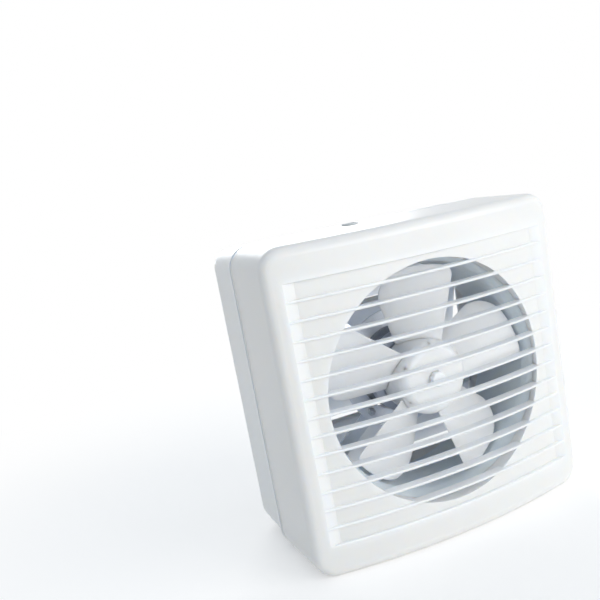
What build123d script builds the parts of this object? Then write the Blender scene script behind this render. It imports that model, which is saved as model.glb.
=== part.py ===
from build123d import *

import os
from math import cos, hypot, radians, sin, sqrt

# A window exhaust fan in two halves that clamp a pane between their flanges.
# X runs to the right as seen from the room, -Y points into the room, +Y outdoors, +Z up.
# The origin is on the fan's axis, in the middle plane of the pane. Millimetres and degrees.

# ---- driving dimensions -------------------------------------------------------------------

wall = 2.5  # moulded wall of the cover, frame and housing
fit_gap = 0.3  # clearance between separate moulded pieces
running_gap = 0.05  # radial clearance of pins and shafts in their holes

# Front cover
cover_size = 300.0
cover_corner = 21.0
cover_edge = 9.5  # rounding between the face and the sides
rib_end_y = -86.0  # where the ribs run out into the face
crown_rise = 15.5  # how far the face bows into the room
rib_margin = 15.5  # from the ribs' ends to the cover's sides
rib_count = 15
rib_pitch = 17.1
rib_thickness = 2.5
rib_depth = 10.0
rib_edge = 0.8  # rounding of the ribs' front edges
recess_depth = 4.0
recess_ramp = 11.0
bell_flare = 4.5  # of the inlet, beyond the throat
lip_width = 8.0  # of the raised ring round the inlet
lip_rise = 1.5  # in front of the sunk field
lip_rounding = 6.0  # from the ring into the inlet
lip_edge = 1.2
lip_depth = 5.5  # the ring's tube ends this far behind the ribs' ends
hook_z = 70.0
hook_x = 90.0
cover_screw_spacing = 128.0
cover_screw_radius = 1.5
cover_screw_length = 10.0
cover_screw_head_radius = 3.3
cover_screw_head_height = 1.8

# Flanges, seals and the pane
flange_thickness = 3.0
seal_thickness = 2.0
flange_overlap = 15.0  # of the cover past the square hole in the pane
seal_inset = 2.0  # of the seals' outer edges inside the flanges'
seal_gap = 0.5  # of the seals' inner edges round the hole
spigot_height = 3.5
rim_height = 12.0
fixing_inset = 4.5  # the four fixing holes, outside the pane's hole
fixing_z = 90.0
fixing_hole_radius = 2.25
clamp_inset = 5.0  # the four clamp screws, inside the pane's hole
clamp_screw_radius = 2.0
clamp_boss_radius = 4.0
clamp_screw_end = 46.0

# Duct
throat_radius = 108.5
throat_y = -68.0
duct_rear_y = 2.0
bracket_boss_offset = 8.0  # of the bracket's bosses, outside the duct
bracket_boss_radius = 4.8
bracket_screw_radius = 1.9
bracket_screw_end = -3.0
gusset_inset = 12.2  # from the frame's rim to the webs' feet

# Outdoor housing and its shutter
housing_inset = 2.0  # of the housing's sides inside the cover's
housing_corner = 19.5
housing_taper = 2.0  # each side leans in by this much at the outdoor face
housing_edge = 11.0
face_y = 74.0
shutter_left_margin = 26.5  # from the housing's side; the wide margin is beside the link bar
shutter_right_margin = 13.5
shutter_top_margin = 24.0
tunnel_depth = 36.0
grip_length = 40.0  # the shallow finger grip on the housing's upper side
grip_width = 13.0
grip_depth = 1.3
louvre_count = 4
louvre_overlap = 3.5  # of a closed louvre over the next hinge line
sill_overlap = 4.9  # of the closed last louvre over the lower edge of the opening
louvre_thickness = 1.8
barrel_radius = 2.6
louvre_end_gap = 1.2
pivot_radius = 2.0
pivot_drop = 3.4  # first hinge line below the top of the opening
pivot_inset = 5.0  # hinge lines behind the outdoor face
rest_angle = 18.0  # the louvres' opening at rest, from hanging straight down
crank_radius = 24.3
crank_angle = 190.6  # of the crank pin about the hinge with the louvre hanging straight down
link_inset = 8.3  # middle of the link bar, inside the shutter's opening
link_width = 7.0
link_thickness = 2.0

# Impeller
blade_count = 5
tip_gap = 3.0  # between the blades' tips and the throat
hub_radius = 37.0
hub_rounding = 10.0
hub_front_y = -81.0
hub_rear_y = -44.0
blade_mid_y = -57.5
first_blade_angle = 89.0
leading_root_angle = -31.0  # the blade's corners, about its own middle line
leading_tip_angle = -22.0
trailing_root_angle = 32.0
trailing_tip_angle = 21.0
leading_rounding = 9.0
trailing_rounding = 26.0
blade_thickness = 2.0
root_half_chord = 20.0
middle_half_chord = 37.0
tip_half_chord = 52.0
root_pitch = 36.0
middle_pitch = 24.0
tip_pitch = 18.0
root_camber = 2.0
middle_camber = 4.0
tip_camber = 6.0
hub_boss_radius = 9.0
hub_web_thickness = 1.6
hub_pin_radius = 1.5
hub_pin_length = 15.0

# Motor
shaft_radius = 4.0
motor_radius = 42.0
core_front_y = -24.0
core_length = 22.0
bell_depth = 14.0
bell_wall = 2.0
rotor_radius = 23.6
air_gap = 0.4
bearing_radius = 11.0
bearing_width = 7.0
bearing_seat = 6.5  # the bearings' inner faces, behind the joints of the core with the bells
lug_offset = 11.0  # of the rubber mounts outside the motor
lug_thickness = 3.0
bracket_thickness = 2.0
grommet_height = 5.0

# Electrics
terminal_end = 19.0  # from the middle to the nearer end of the terminal box
terminal_size = (46.0, 33.0, 22.0)  # along X, Y and Z
capacitor_margin = 55.2  # from the frame's side
capacitor_size = (36.0, 25.0, 22.0)
strap_width = 8.0
strap_thickness = 1.0
strap_foot = 7.0
box_clearance = 1.0  # from the duct to a box beside it
box_top_gap = 1.5
box_wall = 1.8
lid_thickness = 2.0
grommet_inset = 8.0  # from the nearer end of the terminal box
grommet_radius = 5.5
grommet_lip = 1.4
grommet_hole_radius = 3.5
grommet_y = -13.0
block_width = 14.0
block_depth = 11.0
block_height = 14.0
block_end_gap = 3.0
terminal_pitch = 7.0

# ---- sizes that follow --------------------------------------------------------------------

cover_half = cover_size / 2
rib_half_length = cover_half - rib_margin
inlet_radius = throat_radius + bell_flare
impeller_radius = throat_radius - tip_gap
bracket_pitch_radius = throat_radius + wall + bracket_boss_offset
cutout_size = cover_size - 2 * flange_overlap
clamp_offset = cutout_size / 2 - clamp_inset
fixing_x = cutout_size / 2 + fixing_inset
housing_size = cover_size - 2 * housing_inset
shutter_left = shutter_left_margin - housing_size / 2
shutter_right = housing_size / 2 - shutter_right_margin
shutter_half_height = housing_size / 2 - shutter_top_margin
louvre_pitch = (2 * shutter_half_height - pivot_drop + sill_overlap - louvre_overlap) / louvre_count
louvre_chord = louvre_pitch + louvre_overlap
link_x = shutter_left + link_inset
flange_front_y = -seal_thickness - flange_thickness
flange_rear_y = seal_thickness + flange_thickness
lug_radius = motor_radius + lug_offset
crown_radius = (rib_half_length**2 + crown_rise**2) / (2 * crown_rise)
crown_centre_y = rib_end_y - crown_rise + crown_radius
air_front_y = rib_end_y - 2 * crown_rise  # well in front of the face
recess_half_height = (rib_count - 1) / 2 * rib_pitch + rib_thickness / 2
lip_rear_y = rib_end_y + lip_depth
bell_front_y = lip_rear_y + fit_gap
hinge_y = face_y - pivot_inset
first_hinge_z = shutter_half_height - pivot_drop
tunnel_y = face_y - wall - tunnel_depth
shutter_middle_x = (shutter_left + shutter_right) / 2
shutter_width = shutter_right - shutter_left
core_rear_y = core_front_y + core_length
bracket_rear_y = core_rear_y - grommet_height
bracket_front_y = bracket_rear_y - bracket_thickness
foot_rear_y = duct_rear_y + bracket_thickness
shaft_rear_y = core_rear_y + bell_depth + 3.0
hub_pin_y = hub_rear_y - 12.0
rim_half = cover_half - wall - fit_gap
box_top_z = rim_half - 2 * wall - box_top_gap
terminal_low_z = box_top_z - terminal_size[2]
duct_reach = throat_radius + wall + box_clearance
box_start = max(terminal_end, sqrt(max(duct_reach**2 - terminal_low_z**2, 0.0)))
terminal_x = -box_start - terminal_size[0] / 2
grommet_x = -box_start - grommet_inset
capacitor_x = rim_half - capacitor_margin


# ---- shared forms -------------------------------------------------------------------------


def room_plane(y):
    """A plane parallel to the pane, with X to the right, Z up and its normal into the room."""
    return Plane(origin=(0, y, 0), x_dir=(1, 0, 0), z_dir=(0, -1, 0))


def slab(sketch, y_front, y_rear):
    """The sketch, drawn as seen from the room, as a solid between two depths."""
    return extrude(room_plane(y_rear) * sketch, amount=y_rear - y_front)


def rounded_square(size, radius):
    return RectangleRounded(size, size, radius)


def rod(radius, x, z, y_front, y_rear):
    """A round bar along Y."""
    return slab(Pos(x, z) * Circle(radius), y_front, y_rear)


def turned(*outline):
    """A solid of revolution about the fan's axis, from radius and depth pairs."""
    face = make_face(Polyline(*outline, close=True))
    return revolve(face, Axis.Y)


def block(x_range, y_range, z_range):
    size = [high - low for low, high in (x_range, y_range, z_range)]
    middle = [(high + low) / 2 for low, high in (x_range, y_range, z_range)]
    return Pos(*middle) * Box(*size)


def corners(x, z):
    return [(sx * x, sz * z) for sx in (-1, 1) for sz in (-1, 1)]


def around(radius, angle):
    return radius * cos(radians(angle)), radius * sin(radians(angle))


def write(name, shape):
    shape.label = name
    export_step(shape, f"parts/{name}.step")


# ---- front cover --------------------------------------------------------------------------


def crown(x, depth=0.0):
    """Depth of the bowed face at a distance from the middle, or of a face that lies behind it."""
    return crown_centre_y - sqrt((crown_radius - depth) ** 2 - x**2)


def crown_band(half_length, front, rear, z_low, z_high):
    """A bowed strip between two depths behind the face."""
    end_front = crown(half_length, front)
    end_rear = crown(half_length, rear)
    outline = [
        ThreePointArc((-half_length, end_front), (0, crown(0, front)), (half_length, end_front)),
        Line((half_length, end_front), (half_length, end_rear)),
        ThreePointArc((half_length, end_rear), (0, crown(0, rear)), (-half_length, end_rear)),
        Line((-half_length, end_rear), (-half_length, end_front)),
    ]
    face = make_face(outline)
    return Pos(0, 0, z_low) * extrude(face, amount=z_high - z_low)


def hood(inset):
    """The cover's outer form, or the hollow that lies one inset inside it."""
    box = slab(
        rounded_square(cover_size - 2 * inset, cover_corner - inset), air_front_y, flange_front_y
    )
    bow = Pos(0, crown_centre_y, 0) * Cylinder(crown_radius - inset, 2 * cover_size)
    form = box & bow
    front_edges = form.edges().filter_by(
        lambda edge: edge.center().Y < rib_end_y / 2 and not is_upright(edge)
    )
    return fillet(front_edges, cover_edge - inset)


def is_upright(edge):
    """Whether an edge runs front to back."""
    direction = edge.tangent_at(0.5)
    return abs(direction.Y) > 0.9


def recess():
    """The sunk field that the ribs stand in, which ramps up to the face at both sides."""
    floor_half = rib_half_length - recess_ramp
    outline = [
        Line((-rib_half_length, crown(rib_half_length)), (-floor_half, crown(floor_half, recess_depth))),
        ThreePointArc(
            (-floor_half, crown(floor_half, recess_depth)),
            (0, crown(0, recess_depth)),
            (floor_half, crown(floor_half, recess_depth)),
        ),
        Line((floor_half, crown(floor_half, recess_depth)), (rib_half_length, crown(rib_half_length))),
        Polyline(
            (rib_half_length, crown(rib_half_length)),
            (rib_half_length, air_front_y),
            (-rib_half_length, air_front_y),
            (-rib_half_length, crown(rib_half_length)),
        ),
    ]
    field = extrude(make_face(outline), amount=2 * recess_half_height)
    return Pos(0, 0, -recess_half_height) * field


def lip_ring():
    """The raised ring round the inlet, which follows the bowed field and rounds into the inlet."""
    half = inlet_radius + 2 * lip_width
    band = crown_band(half, recess_depth - lip_rise, 4 * recess_depth, -half, half)
    tube = Circle(inlet_radius + lip_width) - Circle(inlet_radius)
    ring = band & slab(tube, air_front_y, flange_front_y)
    front = ring.faces().sort_by(Axis.Y)[0]
    inner = front.inner_wires()[0].edges()
    ring = fillet(inner, lip_rounding)
    front = ring.faces().sort_by(Axis.Y)[0]
    return fillet(front.outer_wire().edges(), lip_edge)


def inlet_drum():
    """The wall behind the ring, filled to the front."""
    return slab(Circle(inlet_radius + wall), air_front_y, lip_rear_y) & hood(0)


def rib_heights():
    return [(index - (rib_count - 1) / 2) * rib_pitch for index in range(rib_count)]


def slots():
    """The air between the ribs: over the sunk field and the ring, and through the inlet."""
    air = recess() - lip_ring() + slab(Circle(inlet_radius), air_front_y, flange_front_y)
    half = (rib_pitch - rib_thickness) / 2
    gaps = Part()
    for z in rib_heights()[:-1]:
        gaps += Pos(0, 0, z + rib_pitch / 2) * Box(2 * cover_size, 4 * cover_size, 2 * half)
    return air & gaps


def cover_hooks(clearance):
    """Snap hooks inside the cover's sides, or the windows that they catch in."""
    length = 14.0 + 2 * clearance
    height = 3.0 + 2 * clearance
    y = flange_front_y - rim_height / 2
    reach = wall + fit_gap + clearance
    hooks = Part()
    for z in (-hook_z, hook_z):
        for side in (-1, 1):
            x = side * (cover_half - wall - reach / 2 + 0.2)
            hooks += Pos(x, y, z) * Box(reach, height, length)
    for x in (-hook_x, hook_x):
        hooks += Pos(x, y, cover_half - wall - reach / 2 + 0.2) * Box(length, height, reach)
    return hooks


def cover_screw_x():
    return (-cover_screw_spacing / 2, cover_screw_spacing / 2)


def front_cover():
    half_height = recess_half_height + wall
    backing = crown_band(rib_half_length + wall, wall, recess_depth + wall, -half_height, half_height)
    cover = hood(0) - hood(wall) + backing + inlet_drum()
    behind_ribs = slab(Circle(inlet_radius), air_front_y, flange_front_y)
    behind_ribs -= Pos(0, crown_centre_y, 0) * (
        Cylinder(2 * crown_radius, 3 * cover_size) - Cylinder(crown_radius - rib_depth, 3 * cover_size)
    )
    cover -= behind_ribs
    cover -= slots()
    cover += cover_hooks(0)
    cover -= grommet_notch(fit_gap / 3)
    for x in cover_screw_x():
        place = Pos(x, flange_front_y - rim_height / 2, -cover_half)
        hole_radius = cover_screw_radius + 0.4
        head_radius = cover_screw_head_radius + 0.2
        cover -= place * Cylinder(hole_radius, 4 * wall)
        cover -= place * Pos(0, 0, 1.0) * Cone(head_radius, hole_radius, 2.0)
    return fillet(rib_front_edges(cover), rib_edge)


def rib_front_edges(cover):
    """The long bowed edges at the front of the ribs."""
    sides = [z + side * rib_thickness / 2 for z in rib_heights() for side in (-1, 1)]

    def is_rib_edge(edge):
        box = edge.bounding_box()
        at_side = min(abs(box.center().Z - side) for side in sides) < 0.01
        return at_side and box.size.Z < 0.01 and edge.length > 2 * inlet_radius and box.min.Y < crown(0) + 0.5

    return cover.edges().filter_by(GeomType.CIRCLE).filter_by(is_rib_edge)


def grommet_notch(clearance):
    """The open notch at the cover's top rear edge, where the cable inlet sits."""
    radius = grommet_radius + clearance
    post = Pos(grommet_x, grommet_y, cover_half) * Cylinder(radius, 8 * wall)
    slot = block(
        (grommet_x - radius, grommet_x + radius),
        (grommet_y, flange_front_y + 0.01),
        (cover_half - 4 * wall, cover_half + 4 * wall),
    )
    return post + slot


# ---- inner frame --------------------------------------------------------------------------


def inner_frame():
    plate = slab(rounded_square(cover_size, cover_corner), flange_front_y, -seal_thickness)
    rim = slab(
        rounded_square(2 * rim_half, cover_corner - wall - fit_gap)
        - rounded_square(2 * rim_half - 2 * wall, cover_corner - 2 * wall),
        flange_front_y - rim_height,
        flange_front_y,
    )
    spigot_size = cutout_size - 2.0
    spigot = slab(
        rounded_square(spigot_size, 6.0) - rounded_square(spigot_size - 2 * wall, 4.0),
        -seal_thickness,
        -seal_thickness + spigot_height,
    )
    frame = plate + rim + spigot
    for angle in (0, 28, 152, 180, 208, 242, 298, 332):
        frame += gusset(angle)
    for angle in (45, 135, 225, 315):
        x, z = around(bracket_pitch_radius, angle)
        frame += rod(bracket_boss_radius, x, z, flange_front_y, duct_rear_y)
    frame += duct(wall)
    frame -= duct(0)
    for angle in (45, 135, 225, 315):
        x, z = around(bracket_pitch_radius, angle)
        frame -= rod(bracket_screw_radius + running_gap, x, z, -4, duct_rear_y + 1)
    for x, z in corners(clamp_offset, clamp_offset):
        frame -= rod(clamp_screw_radius + fit_gap, x, z, flange_front_y - 1, flange_rear_y)
    for x, z in corners(fixing_x, fixing_z):
        frame -= rod(fixing_hole_radius, x, z, flange_front_y - 1, flange_rear_y)
    frame -= cover_hooks(0.4)
    y_screw = flange_front_y - rim_height / 2
    for x in cover_screw_x():
        lug = block(
            (x - 4.5, x + 4.5),
            (y_screw - 4.5, flange_front_y),
            (-rim_half + 0.5, -rim_half + 11.0),
        )
        frame += lug
        pilot = Cylinder(cover_screw_radius + running_gap, cover_screw_length + 4.0)
        frame -= Pos(x, y_screw, -rim_half + 5.0) * pilot
    notch_half = grommet_radius + grommet_lip + fit_gap
    frame -= block(
        (grommet_x - notch_half, grommet_x + notch_half),
        (grommet_y - notch_half, flange_front_y),
        (cover_half - 4 * wall, cover_half),
    )
    return frame


def duct(offset):
    """The bell mouth and straight duct round the impeller, solid through to the axis."""
    outline = [
        Line((0, bell_front_y), (inlet_radius + offset, bell_front_y)),
        ThreePointArc(
            (inlet_radius + offset, bell_front_y),
            (throat_radius + 1.3 + offset, (bell_front_y + throat_y) / 2),
            (throat_radius + offset, throat_y),
        ),
        Polyline(
            (throat_radius + offset, throat_y),
            (throat_radius + offset, duct_rear_y),
            (0, duct_rear_y),
            (0, bell_front_y),
        ),
    ]
    return revolve(make_face(outline), Axis.Y)


def gusset(angle):
    """A triangular web between the duct and the plate."""
    root = throat_radius + 0.5
    foot = rim_half - gusset_inset
    web = make_face(
        Polyline(
            (root, flange_front_y + 0.5),
            (root, throat_y + 6),
            (root + 3, throat_y + 6),
            (foot, flange_front_y + 0.5),
            close=True,
        )
    )
    plate = Pos(0, 0, -1.0) * extrude(web, amount=2.0)
    return Rot(0, -angle, 0) * plate


def pane_seal(y_front, y_rear):
    outer = rounded_square(cover_size - 2 * seal_inset, cover_corner - seal_inset)
    ring = slab(outer, y_front, y_rear)
    ring -= slab(rounded_square(cutout_size + 2 * seal_gap, 7.0), y_front, y_rear)
    for x, z in corners(fixing_x, fixing_z):
        ring -= rod(fixing_hole_radius + fit_gap, x, z, y_front - 1, y_rear + 1)
    return ring


# ---- outdoor housing and shutter ----------------------------------------------------------


def tapered_box(inset):
    """The shroud's outer form, or the hollow inside it."""
    size = housing_size - 2 * inset
    corner = housing_corner - inset
    front = room_plane(flange_rear_y - 1.0) * rounded_square(size, corner)
    rear = room_plane(face_y - inset) * rounded_square(size - 2 * housing_taper, corner)
    form = loft([front, rear])
    rear_edges = form.edges().filter_by(lambda edge: edge.center().Y > face_y - inset - 1)
    return fillet(rear_edges, housing_edge - inset)


def shutter_opening(offset, y_front, y_rear):
    sketch = Pos(shutter_middle_x, 0) * RectangleRounded(
        shutter_width + 2 * offset, 2 * (shutter_half_height + offset), 2.0 + offset
    )
    return slab(sketch, y_front, y_rear)


def hinge_heights():
    return [first_hinge_z - index * louvre_pitch for index in range(louvre_count)]


def outer_housing():
    shell = tapered_box(0) - tapered_box(wall)
    flange = slab(
        rounded_square(cover_size, cover_corner) - rounded_square(cutout_size + 3.0, 8.0),
        seal_thickness,
        flange_rear_y,
    )
    shell = shell - slab(rounded_square(cover_size + 10, 5.0), -20, seal_thickness)
    housing = shell + flange
    housing += shutter_opening(wall, tunnel_y, face_y - wall / 2)
    sill = block(
        (shutter_left - wall, shutter_right + wall),
        (hinge_y - 0.5, face_y - wall + 0.1),
        (-shutter_half_height - 9.0, -shutter_half_height),
    )
    housing += sill
    for x, z in corners(clamp_offset, clamp_offset):
        housing += rod(clamp_boss_radius, x, z, flange_rear_y + 1.0, face_y - wall + 0.2)
    housing -= shutter_opening(0, tunnel_y - 1, face_y + 1)
    housing -= block(
        (shutter_left, shutter_right),
        (face_y - wall, face_y + 1),
        (-shutter_half_height - 6.5, -shutter_half_height + 1),
    )
    for z in hinge_heights():
        bore = Rot(0, 90, 0) * Cylinder(pivot_radius + running_gap, 3 * cover_size)
        bore = Pos(shutter_middle_x, hinge_y, z) * bore
        reach = block(
            (shutter_left - wall - 0.5, shutter_right + wall + 0.5),
            (hinge_y - 3, hinge_y + 3),
            (z - 3, z + 3),
        )
        housing -= bore & reach
    for x, z in corners(clamp_offset, clamp_offset):
        housing -= rod(clamp_screw_radius + running_gap, x, z, 0, clamp_screw_end + 2)
    for x, z in corners(fixing_x, fixing_z):
        housing -= rod(fixing_hole_radius, x, z, 0, flange_rear_y + 0.5)
    grip = Box(grip_length, grip_width, 2 * grip_depth)
    grip = Pos(0, flange_rear_y + grip_width + 1.0, housing_size / 2) * grip
    return housing - grip


def louvre(index):
    """One louvre, made hanging straight down and then turned to its rest opening."""
    left = shutter_left + louvre_end_gap
    right = shutter_right - louvre_end_gap
    length = right - left
    middle = (left + right) / 2
    barrel = Pos(middle, 0, 0) * Rot(0, 90, 0) * Cylinder(barrel_radius, length)
    half_thickness = louvre_thickness / 2
    blade = block((left, right), (-half_thickness, half_thickness), (-louvre_chord, 0))
    long_edges = blade.edges().filter_by(Axis.X).group_by(Axis.Z)[0]
    blade = fillet(long_edges, 0.8)
    pin_length = length + 2 * (louvre_end_gap + wall - 0.5)
    pins = Pos(middle, 0, 0) * Rot(0, 90, 0) * Cylinder(pivot_radius, pin_length)
    shape = barrel + blade + pins + crank()
    z = first_hinge_z - index * louvre_pitch
    return Pos(0, hinge_y, z) * Rot(rest_angle, 0, 0) * shape


def crank():
    """The ear on a louvre's room side, with the pin that the link bar hangs on."""
    pin_y, pin_z = around(crank_radius, crank_angle)
    near = link_x + link_thickness / 2 + 0.4
    far = near + 2.0
    outline = Polyline(
        (0.0, -1.0),
        (pin_y, pin_z + 3.2),
        (pin_y - 3.2, pin_z),
        (pin_y, pin_z - 3.2),
        (0.0, -24.0),
        close=True,
    )
    ear = extrude(Plane.YZ.offset(near) * make_face(outline), amount=far - near, dir=(1, 0, 0))
    head_x = link_x - link_thickness / 2 - 0.4
    pin = Rot(0, 90, 0) * Cylinder(pivot_radius, near - head_x + 1.0)
    pin = Pos((near + head_x - 0.6) / 2 + 0.3, pin_y, pin_z) * pin
    head = Pos(head_x - 0.7, pin_y, pin_z) * Rot(0, -90, 0) * Cone(2.9, 2.0, 1.4)
    return ear + pin + head


def link_bar():
    pin_y, pin_z = around(crank_radius, crank_angle + rest_angle)
    heights = [z + pin_z for z in hinge_heights()]
    y = hinge_y + pin_y
    top, bottom = heights[0], heights[-1]
    strip = Pos(y, (top + bottom) / 2) * Rot(0, 0, 90) * SlotCenterToCenter(top - bottom, link_width)
    bar = extrude(Plane.YZ.offset(link_x - link_thickness / 2) * strip, amount=link_thickness)
    for index, z in enumerate(heights):
        clearance = running_gap if index == 0 else 4 * running_gap
        bar -= Pos(link_x, y, z) * Rot(0, 90, 0) * Cylinder(pivot_radius + clearance, 3 * link_thickness)
    return bar


# ---- impeller -----------------------------------------------------------------------------


def blade_section(radius, half_chord, pitch, camber):
    """A cambered section across the blade at one radius, for a blade that points along +X."""
    along = (cos(radians(pitch)), sin(radians(pitch)))  # across the blade: Z, then Y
    normal = (-along[1], along[0])

    def point(chordwise, depth):
        z = chordwise * along[0] + depth * normal[0]
        y = blade_mid_y + chordwise * along[1] + depth * normal[1]
        return (radius, y, z)

    half = blade_thickness / 2
    outline = [
        ThreePointArc(point(-half_chord, -half), point(0, -half - camber), point(half_chord, -half)),
        Line(point(half_chord, -half), point(half_chord, half)),
        ThreePointArc(point(half_chord, half), point(0, half - camber), point(-half_chord, half)),
        Line(point(-half_chord, half), point(-half_chord, -half)),
    ]
    return make_face(outline)


def blade_outline():
    """The blade's outline seen from the room, with its trailing corner the rounder."""
    root = hub_radius - 4.0
    leading_root = around(root, leading_root_angle)
    leading_tip = around(impeller_radius, leading_tip_angle)
    trailing_tip = around(impeller_radius, trailing_tip_angle)
    trailing_root = around(root, trailing_root_angle)
    outline = [
        Line(leading_root, leading_tip),
        ThreePointArc(leading_tip, (impeller_radius, 0), trailing_tip),
        Line(trailing_tip, trailing_root),
        Line(trailing_root, leading_root),
    ]
    face = make_face(outline)
    face = fillet(nearest_vertex(face, trailing_tip), trailing_rounding)
    return fillet(nearest_vertex(face, leading_tip), leading_rounding)


def nearest_vertex(face, place):
    return face.vertices().sort_by(lambda v: hypot(v.X - place[0], v.Y - place[1]))[0]


def blade():
    sections = [
        blade_section(hub_radius - 12.0, root_half_chord, root_pitch, root_camber),
        blade_section(hub_radius + 25.0, middle_half_chord, middle_pitch, middle_camber),
        blade_section(impeller_radius + 3.0, tip_half_chord, tip_pitch, tip_camber),
    ]
    blank = loft(sections)
    return blank & slab(blade_outline(), hub_front_y - 10, hub_rear_y + 20)


def impeller():
    shoulder = hub_front_y + hub_rounding
    body = turned(
        (0, hub_front_y), (hub_radius - 1.5, hub_front_y), (hub_radius, hub_rear_y), (0, hub_rear_y)
    )
    body = fillet(body.edges().group_by(Axis.Y)[0], hub_rounding)
    one = blade()
    for index in range(blade_count):
        angle = first_blade_angle + index * 360 / blade_count
        body += Rot(0, -angle, 0) * one
    inside = hub_radius - wall - 1.5
    cup_floor = hub_front_y + 1.5 * wall
    body -= turned(
        (0, cup_floor),
        (inside - hub_rounding, cup_floor),
        (inside, shoulder),
        (inside, hub_rear_y + 1),
        (0, hub_rear_y + 1),
    )
    boss_rear = hub_pin_y + 5.0
    body += rod(hub_boss_radius, 0, 0, cup_floor - 0.5, boss_rear)
    for angle in (0, 60, 120, 180, 240, 300):
        web = block(
            (hub_boss_radius - 1.0, inside + 0.5),
            (cup_floor - 0.5, hub_pin_y - 4.0),
            (-hub_web_thickness / 2, hub_web_thickness / 2),
        )
        body += Rot(0, angle + 30, 0) * web
    body -= rod(shaft_radius + running_gap, 0, 0, hub_front_y - 1, hub_rear_y + 1)
    body -= hub_pin_form(running_gap)
    return body


def hub_pin_form(clearance):
    reach = hub_pin_radius + clearance
    half = hub_pin_length / 2 + clearance
    pin = Pos(0, hub_pin_y, 0) * Cylinder(reach, 2 * half)
    if clearance:
        pin += block((-reach, reach), (hub_pin_y, hub_pin_y + 6.0), (-half, half))
    return pin


def hub_nut():
    nut = rod(7.5, 0, 0, hub_front_y - 6.0, hub_front_y - 0.02)
    nut = fillet(nut.edges().group_by(Axis.Y)[0], 2.5)
    for angle in range(0, 360, 45):
        x, z = around(8.3, angle)
        nut -= rod(1.6, x, z, hub_front_y - 7, hub_front_y + 1)
    return nut - rod(shaft_radius - 0.5 + running_gap, 0, 0, hub_front_y - 3.5, hub_front_y + 1)


# ---- motor --------------------------------------------------------------------------------


def motor_shaft():
    shaft = rod(shaft_radius, 0, 0, hub_front_y + 0.5, shaft_rear_y)
    thread = rod(shaft_radius - 0.5, 0, 0, hub_front_y - 3.0, hub_front_y + 0.5)
    cross_hole = Pos(0, hub_pin_y, 0) * Cylinder(hub_pin_radius + running_gap, 4 * shaft_radius)
    return shaft + thread - cross_hole


def hub_pin():
    return hub_pin_form(0)


def bell(y_joint, direction):
    """A cast end bell: a cup with a bearing nose. Direction is -1 towards the room, +1 outdoors."""

    def at(distance):
        return y_joint + direction * distance

    outer = turned(
        (0, at(0)),
        (motor_radius, at(0)),
        (motor_radius, at(bell_depth - 5)),
        (motor_radius - 6, at(bell_depth)),
        (bearing_radius + 4, at(bell_depth)),
        (bearing_radius + 3, at(bell_depth + 2)),
        (0, at(bell_depth + 2)),
    )
    inside = motor_radius - bell_wall
    hollow = turned(
        (0, at(-1)),
        (inside, at(-1)),
        (inside, at(bell_depth - 6)),
        (inside - 5, at(bell_depth - bell_wall)),
        (bearing_radius + 2, at(bell_depth - bell_wall)),
        (bearing_radius + 2, at(bell_depth - 5)),
        (0, at(bell_depth - 5)),
    )
    cup = outer - hollow
    cup -= turned(
        (0, at(bearing_seat)),
        (bearing_radius + 0.02, at(bearing_seat)),
        (bearing_radius + 0.02, at(bearing_seat + bearing_width)),
        (0, at(bearing_seat + bearing_width)),
    )
    cup -= rod(shaft_radius + 1.0, 0, 0, min(at(0), at(bell_depth + 3)), max(at(0), at(bell_depth + 3)))
    for index in range(8):
        angle = 22.5 + index * 45
        x, z = around(motor_radius - 13.0, angle)
        slot = Pos(x, z) * Rot(0, 0, angle + 90) * SlotOverall(13.0, 3.4)
        low, high = sorted((at(bell_depth - 4), at(bell_depth + 1)))
        cup -= slab(slot, low, high)
    return cup


def lug_ring(y_front, y_rear):
    """Four ears for the rubber mounts, on the joint face of a bell."""
    ears = Part()
    for angle in (45, 135, 225, 315):
        middle = Pos(*around((motor_radius + lug_radius) / 2 - 3, angle))
        ear = middle * Rot(0, 0, angle) * Rectangle(lug_radius - motor_radius + 8, 12.0)
        ears += slab(ear, y_front, y_rear)
        ears += rod(6.0, *around(lug_radius, angle), y_front, y_rear)
    return ears


def motor_rear_bell():
    body = bell(core_rear_y, 1)
    inside = rod(motor_radius - 1, 0, 0, core_rear_y - 1, core_rear_y + 5)
    body += lug_ring(core_rear_y, core_rear_y + lug_thickness) - inside
    for angle in (45, 135, 225, 315):
        x, z = around(lug_radius, angle)
        body -= rod(clamp_screw_radius + fit_gap, x, z, core_rear_y - 1, core_rear_y + 5)
    return body


def motor_front_bell():
    return bell(core_front_y, -1)


def stator_core():
    """The stack of laminations, with an opening for each coil beside the bore."""
    core = rod(motor_radius, 0, 0, core_front_y, core_rear_y)
    core = core - rod(rotor_radius + air_gap, 0, 0, core_front_y - 1, core_rear_y + 1)
    for index in range(8):
        x, z = around(rotor_radius + 7.5, index * 45)
        core -= rod(3.6, x, z, core_front_y - 1, core_rear_y + 1)
    return core


def stator_coils():
    """Two end windings joined by the coil sides that pass through the core."""
    coils = Part()
    front = core_front_y - 6.5
    rear = core_rear_y + 6.5
    ring = Circle(rotor_radius + 11.5) - Circle(rotor_radius + 3.0)
    coils += slab(ring, front, core_front_y - fit_gap)
    coils += slab(ring, core_rear_y + fit_gap, rear)
    for index in range(8):
        x, z = around(rotor_radius + 7.5, index * 45)
        coils += rod(3.3, x, z, front + 1, rear - 1)
    return coils


def rotor():
    core = rod(rotor_radius, 0, 0, core_front_y, core_rear_y)
    core += turned((0, core_front_y - 4), (16, core_front_y - 4), (17, core_front_y), (0, core_front_y))
    core += turned((0, core_rear_y + 4), (16, core_rear_y + 4), (17, core_rear_y), (0, core_rear_y))
    return core - rod(shaft_radius + 0.02, 0, 0, core_front_y - 6, core_rear_y + 6)


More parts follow.
